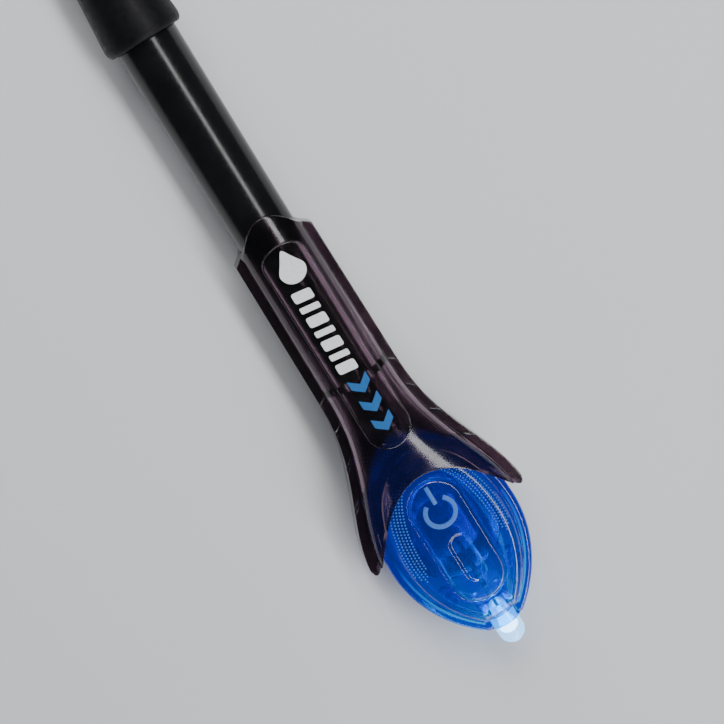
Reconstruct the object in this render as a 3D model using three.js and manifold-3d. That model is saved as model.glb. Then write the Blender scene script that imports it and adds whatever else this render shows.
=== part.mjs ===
// A pen-shaped UV curing lamp: a smoked holder with a capped barrel of resin pushed into one end
// and a press-button UV torch clipped between the wings at the other. Millimetres, +Z up.
//
// The pen frame: the common axis of barrel, holder and LED runs along X, towards the LED, with
// x = 0 on the face of the bulkhead that the barrel bottoms on, and the label looks along +Z.
// The whole pen is then lifted so that it lies on the flat of its back plateau.
import * as THREE from 'three';
import { mergeVertices } from 'three/addons/utils/BufferGeometryUtils.js';
import Module from 'manifold-3d';

// ---- Driving dimensions -------------------------------------------------------------------

// Fits
const slideClearance = 0.15;      // a piece that slides in a bore or pocket, per side
const pressClearance = 0.05;      // a piece that is pressed home, per side
const seatGap = 0.1;              // between two faces that seat on each other
const pocketClearance = 0.3;      // round the torch in its bay

// Barrel of resin
const barrelRadius = 5.25;
const barrelWall = 1.0;
const barrelLength = 66.5;        // closed end to shoulder
const barrelCorner = 1.6;         // rounding of the closed end
const shoulderStep = 1.65;         // barrel down to its neck
const neckWall = 1.2;
const neckLength = 6;

// Dispensing nozzle
const hubPlugLength = 4.5;
const hubFlange = 1.2;
const hubNoseLength = 9.5;
const hubTipRadius = 1.2;
const needleRadius = 0.45;
const needleWall = 0.15;
const needleStickOut = 7.5;
const needleGrip = 6;             // length of needle held inside the hub

// Cap
const capLipWall = 0.55;
const capRingWall = 1.35;         // at the widest ring
const capLipRun = 1.5;            // lip to the widest ring
const capTaper = THREE.MathUtils.degToRad(5.3);
const capWall = 1.1;
const capEndThickness = 1.5;
const capOverlap = 2.6;           // how far the lip reaches over the barrel
const sealLength = 4.5;
const sealBite = 2;               // how deep the needle's tip sits in the seal

// Holder
const holderWall = 1.2;
const crownWall = 1.3;            // over the barrel's socket
const neckMargin = 2.08;          // from the barrel to the edge of the side flange
const neckDrift = 0.015;          // slow widening along the neck
const wingMargin = 3;             // from the torch to the edge of the wings
const socketLength = 25.6;        // shoulders of the mouth to the bulkhead
const mouthArch = 5.6;            // the mouth's crown stands out past its shoulders
const mouthShoulder = 1.65;       // slanted run between the arch and the shoulder
const bulkheadThickness = 1.4;
const bulkheadHoleRadius = 3;
const wingLength = 34.3;          // bulkhead to wing tips
const bayDepth = 13.4;            // wing tips back to the arch's crown
const wingTipWidth = 2.5;
const wingTipRun = 2;
const flangeHalfThickness = 2.3;
const neckFlange = 1.4;           // width of the side flange at the mouth
const wingFlange = 2.8;           // and at the wings
const plateauHeight = 0.8;        // stands proud of the body's crown
const plateauHalfWidth = 4.07;
const plateauStart = 0.6;         // inside the shoulders of the mouth
const plateauLength = 40.1;
const railWidth = 1.3;
const gripPlaces = [2.4, 8.1, 14.4, 21.7];
const gripRadius = 0.45;          // finger notches in the edge of the flanges
const gripLength = 2.6;
const gripLean = 0.65;            // radians
const gripInset = 0.7;            // from the flange's edge to the notch's middle
const pegRadius = 0.5;
const pegLength = 1.2;

// Torch
const torchMargin = 3;            // beside the cells
const tailRoom = 11;              // the tail's reach is the cells' radius and this
const noseRoom = 9.5;             // and the nose's is this more
const noseCut = 2;                // cut flat this far before the outline would close
const torchStandOut = 20.8;       // nose past the wing tips
const torchWall = 1.2;
const torchDepth = 4.2;           // parting plane to the underside
const rimHeight = 2.8;            // parting plane to the ledge round the dome
const rimRoof = 1.0;
const domeHeight = 4.7;
const domeInset = 2.4;
const edgeRound = 1.0;
const domeRound = 1.8;
const noseCollarRadius = 3.9;
const noseCollarLength = 6;
const noseWall = 2.1;

// Button
const buttonHalfWidth = 5;
const buttonRear = 2.6;           // reach of its rear end, more than the cells' radius
const buttonFront = 2.4;
const buttonProud = 0.4;
const buttonRound = 0.6;
const dimpleRadius = 8;
const dimpleDepth = 0.5;
const dimplePlace = 3.7;          // ahead of the torch's widest point
const buttonFlange = 1.1;
const buttonFlangeThickness = 0.7;
const buttonTravel = 0.35;
const nubRadius = 1.0;
const nubPlace = 0.9;             // ahead of the torch's widest point

// Cells
const cellRadius = 10;
const cellHeight = 1.6;
const cellSheet = 0.25;
const cellPlace = -2.6;           // centre, from the torch's widest point
const crimpWidth = 1.1;           // the can's crimp, round the lid
const crimpLip = 0.35;            // the crimp's inner edge stands off the lid
const cellEdge = 0.3;             // rounding of the can

// LED
const ledRadius = 2.5;
const ledFlangeRadius = 2.9;
const ledFlangeLength = 1;
const ledLength = 8.6;
const leadPitch = 2.54;
const leadWidth = 0.8;
const leadThickness = 0.4;
const leadRoot = 1.5;             // straight run behind the LED
const leadBend = 1.2;             // ahead of the cell's edge

// Torch screws
const screwHeadRadius = 1.5;
const screwHeadHeight = 0.9;
const screwRadius = 0.8;
const screwLength = 4.2;
const screwBossRadius = 1.9;
const screwWell = 0.15;           // round the head and below it
const bossGap = 0.4;              // round a boss
const screwMargin = 3.8;          // from the cells' edge to the screws' ring
const screwAngle = Math.PI / 6;

// Roundness
const wideRound = 32;
const cellRound = 24;
const far = 60;                   // past every face of the pen
const past = 3;                   // a cutting solid reaches this far past the face it cuts
const smallRound = 16;

// ---- Worked-out places --------------------------------------------------------------------

const socketRadius = barrelRadius + slideClearance;
const neckRadius = barrelRadius - shoulderStep;
const neckBoreRadius = neckRadius - neckWall;
const capMaxRadius = socketRadius + capRingWall;
const torchHalfWidth = cellRadius + torchMargin;
const torchTail = cellRadius + tailRoom;
const torchNose = cellRadius + noseRoom;
const torchNoseRun = torchNose + noseCut;
const neckHalfWidth = barrelRadius + neckMargin;
const wingHalfWidth = torchHalfWidth + wingMargin;
const torchCover = domeHeight + pocketClearance + holderWall;
const holderHeight = Math.max(socketRadius + crownWall, torchCover);
const shoulderX = -seatGap - barrelLength;
const neckEndX = shoulderX - neckLength;
const hubFaceX = neckEndX - seatGap;
const hubTipX = hubFaceX - hubFlange - hubNoseLength;
const needleTipX = hubTipX - needleStickOut;
const sealFaceX = needleTipX + sealBite;
const capLipX = shoulderX + capOverlap;
const capFloorX = sealFaceX - sealLength - seatGap;
const capEndX = capFloorX - capEndThickness;
const bayCrownX = wingLength - bayDepth;
const torchX = wingLength + torchStandOut - torchNose;
const ledTipX = torchNose - noseWall + ledLength - ledFlangeLength;
const ledBackX = ledTipX - ledLength;
const lampFrontX = torchX + ledTipX;
const lidRadius = cellRadius - crimpWidth;
const stackHalf = cellHeight + seatGap / 2;
const screwPlaces = [Math.PI, screwAngle, -screwAngle].map((angle) => {
  const ring = cellRadius + screwMargin;
  return [cellPlace + ring * Math.cos(angle), ring * Math.sin(angle)];
});

// ---- Solids -------------------------------------------------------------------------------

const wasm = await Module();
wasm.setup();

// A geometry with only positions, shared corners merged and collapsed triangles dropped.
function closed(geometry) {
  geometry.deleteAttribute('normal');
  geometry.deleteAttribute('uv');
  const merged = mergeVertices(geometry, 1e-4);
  const corners = merged.index.array;
  const kept = [];
  for (let i = 0; i < corners.length; i += 3) {
    const [a, b, c] = corners.subarray(i, i + 3);
    if (a !== b && b !== c && c !== a) kept.push(a, b, c);
  }
  merged.setIndex(kept);
  return merged;
}

function solid(geometry) {
  const merged = closed(geometry);
  return new wasm.Manifold(new wasm.Mesh({
    numProp: 3,
    vertProperties: new Float32Array(merged.attributes.position.array),
    triVerts: new Uint32Array(merged.index.array),
  }));
}

function geometryOf(manifold) {
  const mesh = manifold.getMesh();
  const geometry = new THREE.BufferGeometry();
  geometry.setAttribute('position', new THREE.BufferAttribute(mesh.vertProperties, 3));
  geometry.setIndex(new THREE.BufferAttribute(mesh.triVerts, 1));
  return geometry;
}

// A solid of revolution about X from [x, radius] points, given in either direction.
function turned(profile, segments = wideRound) {
  const points = profile.map(([x, radius]) => new THREE.Vector2(radius, x));
  if (THREE.ShapeUtils.isClockWise(points)) points.reverse();
  const onAxis = points.some((point) => point.x === 0);
  if (!onAxis) points.push(points[0].clone());
  while (onAxis && (points[0].x !== 0 || points.at(-1).x !== 0)) points.push(points.shift());
  return new THREE.LatheGeometry(points, segments).rotateZ(-Math.PI / 2);
}

// The same about Z, for the cells, screws and bosses, from [z, radius] points.
function turnedUp(profile, segments = smallRound) {
  return turned(profile, segments).rotateY(-Math.PI / 2);
}

function roundBar(radius, low, high, segments = smallRound) {
  return turned([[low, 0], [low, radius], [high, radius], [high, 0]], segments);
}

function post(radius, low, high, x = 0, y = 0, segments = smallRound) {
  const profile = [[low, 0], [low, radius], [high, radius], [high, 0]];
  return turnedUp(profile, segments).translate(x, y, 0);
}

function block(lowX, highX, lowY, highY, lowZ, highZ) {
  const box = new THREE.BoxGeometry(highX - lowX, highY - lowY, highZ - lowZ);
  return box.translate((lowX + highX) / 2, (lowY + highY) / 2, (lowZ + highZ) / 2);
}

// An outline in the XY plane, raised from low to high.
function plate(shape, low, high, curveSegments = 8) {
  const settings = { depth: high - low, bevelEnabled: false, curveSegments };
  return new THREE.ExtrudeGeometry(shape, settings).translate(0, 0, low);
}

// The same with its upper edge rounded, inside the outline.
function cushion(shape, low, high, round, curveSegments = 8) {
  const settings = {
    depth: high - low - round,
    bevelEnabled: true,
    bevelThickness: round,
    bevelSize: round,
    bevelOffset: -round,
    bevelSegments: 3,
    curveSegments,
  };
  const rounded = solid(new THREE.ExtrudeGeometry(shape, settings).translate(0, 0, low));
  return rounded.subtract(solid(block(-far, far, -far, far, low - 2 * round, low)));
}

function finish(colour, roughness, metalness = 0, opacity = 1) {
  const transparent = opacity < 1;
  return new THREE.MeshStandardMaterial({ color: colour, roughness, metalness, transparent, opacity });
}

const finishes = {
  smoke: finish(0x2a2024, 0.18, 0, 0.6),
  blackGloss: finish(0x0b0b0d, 0.22),
  blackSatin: finish(0x141416, 0.5),
  blueClear: finish(0x0d5fd6, 0.15, 0, 0.6),
  whiteAbs: finish(0xdfe3e6, 0.5),
  nickel: finish(0xc9cbd0, 0.25, 1),
  stainless: finish(0xb9bcc0, 0.3, 1),
  nylon: finish(0x30343a, 0.6),
  clearEpoxy: finish(0xe8f2ff, 0.05, 0, 0.7),
  silicone: finish(0xd8d8d4, 0.7),
  naturalPp: finish(0xe9e9e2, 0.4),
};

function piece(name, shape, material) {
  const geometry = shape.isBufferGeometry ? shape : geometryOf(shape);
  const mesh = new THREE.Mesh(geometry, material);
  mesh.name = name;
  return mesh;
}

// ---- Barrel, nozzle and cap ---------------------------------------------------------------

function glueBarrel() {
  const end = -seatGap;
  const innerEnd = end - barrelWall;
  const boreRadius = barrelRadius - barrelWall;
  const outline = [[end, 0]];
  for (let step = 0; step <= 4; step++) {
    const angle = (step / 4) * (Math.PI / 2);
    const x = end - barrelCorner * (1 - Math.cos(angle));
    outline.push([x, barrelRadius - barrelCorner * (1 - Math.sin(angle))]);
  }
  outline.push(
    [shoulderX, barrelRadius],
    [shoulderX, neckRadius],
    [neckEndX, neckRadius],
    [neckEndX, neckBoreRadius],
    [shoulderX + barrelWall, neckBoreRadius],
    [shoulderX + barrelWall, boreRadius],
    [innerEnd - barrelCorner / 2, boreRadius],
    [innerEnd, boreRadius - barrelCorner / 2],
    [innerEnd, 0],
  );
  return turned(outline);
}

function nozzleHub() {
  const plugRadius = neckBoreRadius - pressClearance;
  const grip = hubTipX + needleGrip;
  return turned([
    [hubFaceX + hubPlugLength, plugRadius],
    [hubFaceX, plugRadius],
    [hubFaceX, neckRadius],
    [hubFaceX - hubFlange, neckRadius],
    [hubFaceX - hubFlange, neckRadius * 0.7],
    [hubTipX, hubTipRadius],
    [hubTipX, needleRadius + pressClearance],
    [grip + seatGap, needleRadius + pressClearance],
    [grip + seatGap, needleRadius - needleWall],
    [hubFaceX, needleRadius * 2],
    [hubFaceX + hubPlugLength, needleRadius * 3],
  ], smallRound);
}

function dispensingNeedle() {
  const back = hubTipX + needleGrip;
  const bore = needleRadius - needleWall;
  return turned([
    [back, needleRadius],
    [needleTipX, needleRadius],
    [needleTipX, bore],
    [back, bore],
  ], smallRound);
}

function capOuterRadius(x) {
  return capMaxRadius - (capLipX - capLipRun - x) * Math.tan(capTaper);
}

function capShell() {
  const stepX = shoulderX - seatGap;
  const innerRadius = (x) => Math.min(socketRadius, capOuterRadius(x) - capWall);
  return turned([
    [capLipX, socketRadius],
    [capLipX, socketRadius + capLipWall],
    [capLipX - capLipRun / 2, capMaxRadius - 0.25],
    [capLipX - capLipRun, capMaxRadius],
    [capEndX + capWall, capOuterRadius(capEndX + capWall)],
    [capEndX, capOuterRadius(capEndX) - capWall],
    [capEndX, 0],
    [capFloorX, 0],
    [capFloorX, innerRadius(capFloorX)],
    [stepX, innerRadius(stepX)],
  ]);
}

function capSeal() {
  const outside = (x) => capOuterRadius(x) - capWall - pressClearance * 2;
  const holeRadius = needleRadius + slideClearance;
  const back = sealFaceX - sealLength;
  return turned([
    [back, 0],
    [back, outside(back)],
    [sealFaceX, outside(back)],
    [sealFaceX, holeRadius],
    [sealFaceX - sealBite * 1.4, holeRadius],
    [sealFaceX - sealBite * 1.6, 0],
  ], smallRound);
}

// ---- Holder -------------------------------------------------------------------------------

// 0 along the neck, 1 at the wings.
function flare(x) {
  return THREE.MathUtils.smoothstep(x, 0, wingLength) ** 1.5;
}

function holderHalfWidth(x) {
  const neck = neckHalfWidth + neckDrift * (x + socketLength);
  return THREE.MathUtils.lerp(neck, wingHalfWidth, flare(x));
}

// Height of the holder's skin above the axis plane: a rounded body between two flat flanges.
function holderSkin(x, y) {
  const bodyHalf = holderHalfWidth(x) - THREE.MathUtils.lerp(neckFlange, wingFlange, flare(x));
  const roundness = 2 + 2 * flare(x);
  const across = Math.min(1, Math.abs(y) / bodyHalf);
  const rise = (1 - across ** roundness) ** (1 / roundness);
  return flangeHalfThickness + (holderHeight - flangeHalfThickness) * rise;
}

// A block whose top and bottom follow the skin, moved inwards by inset.
function holderForm(lowX, highX, inset) {
  const form = new THREE.BoxGeometry(highX - lowX, 2, 2, Math.round((highX - lowX) / 2.6), 18, 1);
  form.translate((lowX + highX) / 2, 0, 0);
  const place = form.attributes.position;
  for (let i = 0; i < place.count; i++) {
    const x = place.getX(i);
    const y = place.getY(i) * (holderHalfWidth(x) - inset);
    place.setY(i, y);
    place.setZ(i, place.getZ(i) * (holderSkin(x, y) - inset));
  }
  return form;
}

// Everything ahead of the wings' front edge: an arch that is a parabola, and two rounded tips.
function bayOutline() {
  const tipY = wingHalfWidth - wingTipWidth;
  const tipX = wingLength - wingTipRun;
  const side = wingHalfWidth + past;
  const outline = new THREE.Shape();
  outline.moveTo(wingLength - wingTipWidth * 1.2, side);
  outline.lineTo(wingLength - wingTipWidth * 1.2, wingHalfWidth);
  outline.bezierCurveTo(
    wingLength, wingHalfWidth,
    wingLength + wingTipWidth * 0.3, wingHalfWidth - wingTipWidth * 0.3,
    tipX, tipY,
  );
  outline.quadraticCurveTo(2 * bayCrownX - tipX, 0, tipX, -tipY);
  outline.bezierCurveTo(
    wingLength + wingTipWidth * 0.3, wingTipWidth * 0.3 - wingHalfWidth,
    wingLength, -wingHalfWidth,
    wingLength - wingTipWidth * 1.2, -wingHalfWidth,
  );
  outline.lineTo(wingLength - wingTipWidth * 1.2, -side);
  outline.lineTo(wingLength + 2 * past, -side);
  outline.lineTo(wingLength + 2 * past, side);
  return outline;
}

// Everything behind the mouth: an arch over the barrel between two slanted shoulders.
function mouthOutline() {
  const archX = -socketLength - mouthShoulder;
  const crownX = -socketLength - mouthArch;
  const side = neckHalfWidth + past;
  const outline = new THREE.Shape();
  outline.moveTo(crownX - 2 * past, -side);
  outline.lineTo(-socketLength + mouthShoulder, -side);
  outline.lineTo(-socketLength, -neckHalfWidth);
  outline.lineTo(archX, -barrelRadius);
  outline.quadraticCurveTo(2 * crownX - archX, 0, archX, barrelRadius);
  outline.lineTo(-socketLength, neckHalfWidth);
  outline.lineTo(-socketLength + mouthShoulder, side);
  outline.lineTo(crownX - 2 * past, side);
  return outline;
}

// A racetrack whose end towards the mouth is flatter than a half circle.
function plateauOutline() {
  const mouthEnd = -socketLength - plateauStart + plateauHalfWidth * 0.7;
  const wingEnd = -socketLength - plateauStart + plateauLength - plateauHalfWidth;
  const outline = new THREE.Shape();
  outline.absarc(wingEnd, 0, plateauHalfWidth, -Math.PI / 2, Math.PI / 2);
  outline.absellipse(
    mouthEnd, 0, plateauHalfWidth * 0.7, plateauHalfWidth, Math.PI / 2, Math.PI * 1.5,
  );
  return outline;
}

// Slanted finger notches in the upper face of one flange.
function gripNotches(side) {
  return gripPlaces.map((x) => {
    const notch = new THREE.CylinderGeometry(gripRadius, gripRadius, gripLength, 4);
    const y = side * (holderHalfWidth(x) - gripInset);
    return notch.rotateZ(-side * gripLean).translate(x - 0.6, y, flangeHalfThickness + 0.15);
  });
}

function holderShells() {
  const lowX = -socketLength - mouthArch - past;
  const highX = wingLength + past;
  const top = holderHeight + plateauHeight;
  let body = solid(holderForm(lowX, highX, 0));
  body = body.add(solid(plate(plateauOutline(), -top, top)));
  const skin = body;

  body = body.subtract(solid(holderForm(bulkheadThickness, highX + 1, holderWall)));
  body = body.subtract(solid(roundBar(socketRadius, lowX - 1, 0, wideRound)));
  body = body.subtract(solid(roundBar(bulkheadHoleRadius, -1, bulkheadThickness + 1)));

  // Two rails a side carry the torch by its rim.
  const railIn = torchHalfWidth - torchWall - railWidth;
  for (const side of [-1, 1]) {
    const y = [side * railIn, side * (railIn + railWidth)].sort((a, b) => a - b);
    const rail = block(torchX - torchTail * 0.5, torchX, ...y, -holderHeight, holderHeight);
    body = body.add(solid(rail).intersect(skin));
    for (const notch of gripNotches(side)) {
      body = body.subtract(solid(notch.clone()));
      body = body.subtract(solid(notch.rotateX(Math.PI)).mirror([0, 1, 0]));
    }
  }
  body = body.subtract(torchRoom());
  body = body.subtract(solid(plate(bayOutline(), -top - 1, top + 1, 10)));
  body = body.subtract(solid(plate(mouthOutline(), -top - 1, top + 1, 10)));

  const half = seatGap / 2;
  let front = body.intersect(solid(block(-far, far, -far, far, half, far)));
  let back = body.intersect(solid(block(-far, far, -far, far, -far, -half)));
  const pegY = (socketRadius + neckHalfWidth) / 2;
  for (const x of [-socketLength * 0.85, -socketLength * 0.15]) {
    for (const y of [-pegY, pegY]) {
      back = back.add(solid(post(pegRadius, -1, half + pegLength, x, y)));
      front = front.subtract(solid(post(pegRadius + seatGap, -1, half + pegLength + seatGap, x, y)));
    }
  }
  return { front, back };
}

// ---- Torch, drawn about its widest point ---------------------------------------------------

// The torch's outline is an egg, cut flat at the nose. The unit circle's point (c, s) goes to the
// matching point of the egg that lies inset inside it.
function eggPoint(c, s, inset) {
  const run = (c < 0 ? torchTail : torchNoseRun) - inset;
  const power = c < 0 ? 0.5 : 0.75;
  const nose = torchNose - inset;
  const halfWidth = (x) => (torchHalfWidth - inset) * Math.max(0, 1 - (x / run) ** 2) ** power;
  if (run * c <= nose) return [run * c, Math.sign(s) * halfWidth(run * c)];
  const cornerSine = Math.sqrt(1 - (nose / run) ** 2);
  return [nose, halfWidth(nose) * (s / cornerSine)];
}

// A solid whose level outlines are eggs, given from low to high as [z, inset].
function eggSolid(levels, around = 44) {
  const steps = levels.length - 1;
  const form = new THREE.CylinderGeometry(1, 1, steps, around, steps).rotateX(Math.PI / 2);
  const place = form.attributes.position;
  for (let i = 0; i < place.count; i++) {
    const [c, s] = [place.getX(i), place.getY(i)];
    const [z, inset] = levels[Math.round(place.getZ(i) + steps / 2)];
    const [x, y] = Math.hypot(c, s) < 0.5 ? [0, 0] : eggPoint(c, s, inset);
    place.setXYZ(i, x, y, z);
  }
  return solid(form);
}

function eggPlate(inset, low, high) {
  return eggSolid([[low, inset], [high, inset]]);
}

// The same with its upper edge rounded.
function eggCushion(inset, high, round) {
  const levels = [[0, inset]];
  for (const turn of [0, 0.3, 0.6, 0.85, 1]) {
    const angle = turn * Math.PI * 0.5;
    const edge = round * (1 - Math.cos(angle));
    levels.push([high - round * (1 - Math.sin(angle)), inset + edge]);
  }
  return eggSolid(levels);
}

// The room that the torch slides through in the holder, tail first.
function torchRoom() {
  const low = -torchDepth - pocketClearance;
  const room = eggPlate(-pocketClearance, low, rimHeight + pocketClearance);
  const dome = eggPlate(domeInset - pocketClearance, 0, domeHeight + pocketClearance);
  return room.add(dome).translate(torchX, 0, 0);
}

function noseCollar(radius, low, high) {
  return solid(roundBar(radius, low, high, 24));
}

function torchShells() {
  const half = seatGap / 2;
  const floor = torchWall - torchDepth;
  const ceiling = domeHeight - torchWall;
  const headDeck = screwHeadHeight + screwWell - torchDepth;
  const bossEnd = headDeck + 1.2;
  const noseFace = torchNose - noseWall;

  let skin = eggCushion(0, rimHeight, edgeRound);
  skin = skin.add(eggCushion(domeInset, domeHeight, domeRound));
  skin = skin.add(eggCushion(0, torchDepth, domeRound).mirror([0, 0, 1]));
  skin = skin.add(noseCollar(noseCollarRadius, torchNose - noseCollarLength, torchNose));

  let room = eggPlate(torchWall, floor, rimHeight - rimRoof);
  room = room.add(eggPlate(domeInset + torchWall, 0, ceiling));
  const ledWay = ledFlangeRadius + seatGap;
  room = room.intersect(solid(block(-far, noseFace + seatGap, -far, far, -far, far)));
  room = room.add(noseCollar(ledWay, 0, noseFace + seatGap));
  const ledBore = noseCollar(ledRadius + pressClearance * 2, 0, torchNose + 1);
  const opening = solid(plate(buttonOutline(slideClearance), 0, domeHeight + 1));

  let body = skin.subtract(room);
  for (const [x, y] of screwPlaces) {
    body = body.add(solid(post(screwBossRadius, floor - 0.3, rimHeight - 0.5, x, y)));
  }
  body = body.subtract(ledBore).subtract(opening);

  let cover = body.intersect(solid(block(-far, far, -far, far, half, far)));
  let base = body.intersect(solid(block(-far, far, -far, far, -far, -half)));
  for (const [x, y] of screwPlaces) {
    const bossSpace = solid(post(screwBossRadius + bossGap, bossEnd, 0, x, y));
    base = base.subtract(bossSpace);
    base = base.subtract(solid(post(screwHeadRadius + screwWell, -torchDepth - 1, headDeck, x, y)));
    base = base.subtract(solid(post(screwRadius + 0.1, -torchDepth, 0, x, y)));
    cover = cover.add(solid(post(screwBossRadius, bossEnd + seatGap, half + 0.5, x, y)));
    const pilot = post(screwRadius + pressClearance, -far, screwLength + headDeck + seatGap * 3, x, y);
    cover = cover.subtract(solid(pilot));
  }
  return { cover, base };
}

function buttonOutline(grow = 0) {
  const radius = buttonHalfWidth + grow;
  const outline = new THREE.Shape();
  const front = cellRadius + buttonFront - buttonHalfWidth;
  const rear = buttonHalfWidth - cellRadius - buttonRear;
  outline.absarc(front, 0, radius, -Math.PI / 2, Math.PI / 2);
  outline.absarc(rear, 0, radius, Math.PI / 2, Math.PI * 1.5);
  return outline;
}

function pressButton() {
  const ceiling = domeHeight - torchWall - seatGap;
  const flangeLow = ceiling - buttonFlangeThickness;
  const top = domeHeight + buttonProud;
  const pad = cushion(buttonOutline(), flangeLow, top, buttonRound, 6);
  const flange = solid(plate(buttonOutline(buttonFlange), flangeLow, ceiling, 6));
  const nub = solid(post(nubRadius, freeLeadTop() + seatGap, flangeLow + 0.1, nubPlace, 0));
  const dimple = new THREE.SphereGeometry(dimpleRadius, 24, 12).scale(1.3, 0.6, 1);
  dimple.translate(dimplePlace, 0, top + dimpleRadius - dimpleDepth);
  return pad.add(flange).add(nub).subtract(solid(dimple));
}

function cellCradle() {
  const floor = torchWall - torchDepth + seatGap;
  const deck = -stackHalf - seatGap;
  const noseFace = torchNose - noseWall;
  let cradle = eggPlate(torchWall + pocketClearance, floor, rimHeight - rimRoof - pocketClearance);
  const bore = cellRadius + slideClearance;
  cradle = cradle.subtract(solid(post(bore, deck, rimHeight, cellPlace, 0, cellRound)));
  cradle = cradle.subtract(solid(post(lidRadius - 0.6, -far, far, cellPlace, 0, cellRound)));
  const slot = ledFlangeRadius + pocketClearance;
  cradle = cradle.subtract(solid(block(cellPlace, far, -slot, slot, -far, far)));
  cradle = cradle.subtract(solid(block(noseFace - 0.5, far, -far, far, -far, far)));
  for (const [x, y] of screwPlaces) {
    cradle = cradle.subtract(solid(post(screwBossRadius + bossGap, -far, far, x, y)));
  }
  return cradle;
}

// A coin cell, label side up: its can, the lid it is crimped over and the gasket between them.
function cellCan() {
  const lip = lidRadius + crimpLip;
  const inner = cellRadius - cellSheet;
  return turnedUp([
    [cellHeight, 0],
    [cellHeight, cellRadius - cellEdge],
    [cellHeight - cellEdge, cellRadius],
    [cellEdge, cellRadius],
    [0.12, lip],
    [0.4, lip],
    [0.4, inner],
    [cellHeight - cellSheet, inner],
    [cellHeight - cellSheet, 0],
  ], cellRound);
}

function cellLid() {
  const inner = lidRadius - cellSheet;
  const rise = cellHeight - cellSheet - 0.2;
  return turnedUp([
    [0, 0],
    [0, lidRadius - 0.2],
    [0.2, lidRadius],
    [rise, lidRadius],
    [rise, inner],
    [cellSheet, inner],
    [cellSheet, 0],
  ], cellRound);
}

function cellGasket() {
  const gap = pressClearance;
  const rise = cellHeight - cellSheet - gap;
  return turnedUp([
    [0.15, lidRadius + gap],
    [0.15, lidRadius + crimpLip - gap],
    [rise, lidRadius + crimpLip - gap],
    [rise, lidRadius + gap],
  ], cellRound);
}

function ledLens() {
  const flangeEnd = ledBackX + ledFlangeLength;
  const profile = [[ledBackX, 0], [ledBackX, ledFlangeRadius]];
  profile.push([flangeEnd, ledFlangeRadius], [flangeEnd, ledRadius]);
  for (let step = 0; step <= 5; step++) {
    const angle = (step / 5) * (Math.PI / 2);
    const x = ledTipX - ledRadius * (1 - Math.sin(angle));
    profile.push([x, step === 5 ? 0 : ledRadius * Math.cos(angle)]);
  }
  return turned(profile, 24);
}

// The free lead stands one button travel off the upper cell.
function freeLeadTop() {
  return stackHalf + buttonTravel + leadThickness;
}

// A flat lead seen from the side: from the LED's foot, over a bend, along a cell's face.
function leadSolid(height, reachX) {
  const rootX = ledBackX - pocketClearance;
  const rootZ = leadPitch / 2;
  const bendX = cellPlace + cellRadius + leadBend;
  const half = leadThickness / 2;
  const outline = new THREE.Shape();
  outline.moveTo(rootX, rootZ - half);
  outline.lineTo(rootX, rootZ + half);
  outline.lineTo(rootX - leadRoot, rootZ + half);
  outline.lineTo(bendX, height);
  outline.lineTo(reachX, height);
  outline.lineTo(reachX, height - leadThickness);
  outline.lineTo(bendX, height - leadThickness);
  outline.lineTo(rootX - leadRoot, rootZ - half);
  const strip = new THREE.ExtrudeGeometry(outline, { depth: leadWidth, bevelEnabled: false });
  return strip.translate(0, 0, -leadWidth / 2).rotateX(Math.PI / 2);
}

// A self-tapping screw with a cross recess, head down, its seat at z = 0.
function torchScrew() {
  const head = solid(turnedUp([
    [-screwHeadHeight, 0],
    [-screwHeadHeight, screwHeadRadius * 0.7],
    [-screwHeadHeight * 0.6, screwHeadRadius],
    [0, screwHeadRadius],
    [0, screwRadius],
    [screwLength - screwRadius, screwRadius],
    [screwLength, 0.2],
    [screwLength, 0],
  ], 12));
  const slot = 0.22;
  const reach = screwHeadRadius * 0.6;
  const low = -screwHeadHeight - 1;
  const deep = -screwHeadHeight * 0.45;
  const recess = solid(block(-slot, slot, -reach, reach, low, deep));
  return head.subtract(recess.add(solid(block(-reach, reach, -slot, slot, low, deep))));
}

// ---- Assembly -----------------------------------------------------------------------------

const lamp = new THREE.Group();
lamp.position.set(-(capEndX + lampFrontX) / 2, 0, holderHeight + plateauHeight);

const holder = holderShells();
lamp.add(piece('holder_front_shell', holder.front, finishes.smoke));
lamp.add(piece('holder_back_shell', holder.back, finishes.smoke));

const barrel = new THREE.Group();
barrel.add(piece('glue_barrel', glueBarrel(), finishes.blackGloss));
barrel.add(piece('nozzle_hub', nozzleHub(), finishes.naturalPp));
barrel.add(piece('dispensing_needle', dispensingNeedle(), finishes.stainless));
lamp.add(barrel);

const cap = new THREE.Group();
cap.add(piece('cap_shell', capShell(), finishes.blackSatin));
cap.add(piece('cap_seal', capSeal(), finishes.silicone));
lamp.add(cap);

const torch = new THREE.Group();
torch.position.x = torchX;
const shells = torchShells();
torch.add(piece('torch_cover_shell', shells.cover, finishes.blueClear));
torch.add(piece('torch_base_shell', shells.base, finishes.blueClear));
torch.add(piece('press_button', pressButton(), finishes.blueClear));
torch.add(piece('cell_cradle', cellCradle(), finishes.whiteAbs));
torch.add(piece('led_lens', ledLens(), finishes.clearEpoxy));

for (const [name, bottom] of [['upper', seatGap / 2], ['lower', -cellHeight - seatGap / 2]]) {
  const cell = new THREE.Group();
  cell.position.set(cellPlace, 0, bottom);
  cell.add(piece(`${name}_cell_can`, cellCan(), finishes.nickel));
  cell.add(piece(`${name}_cell_lid`, cellLid(), finishes.nickel));
  cell.add(piece(`${name}_cell_gasket`, cellGasket(), finishes.nylon));
  torch.add(cell);
}

const freeLead = leadSolid(freeLeadTop(), nubPlace - nubRadius);
torch.add(piece('led_anode_lead', freeLead, finishes.nickel));
const fixedLead = leadSolid(stackHalf + leadThickness + seatGap, cellPlace);
torch.add(piece('led_cathode_lead', fixedLead.rotateX(Math.PI), finishes.nickel));

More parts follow.
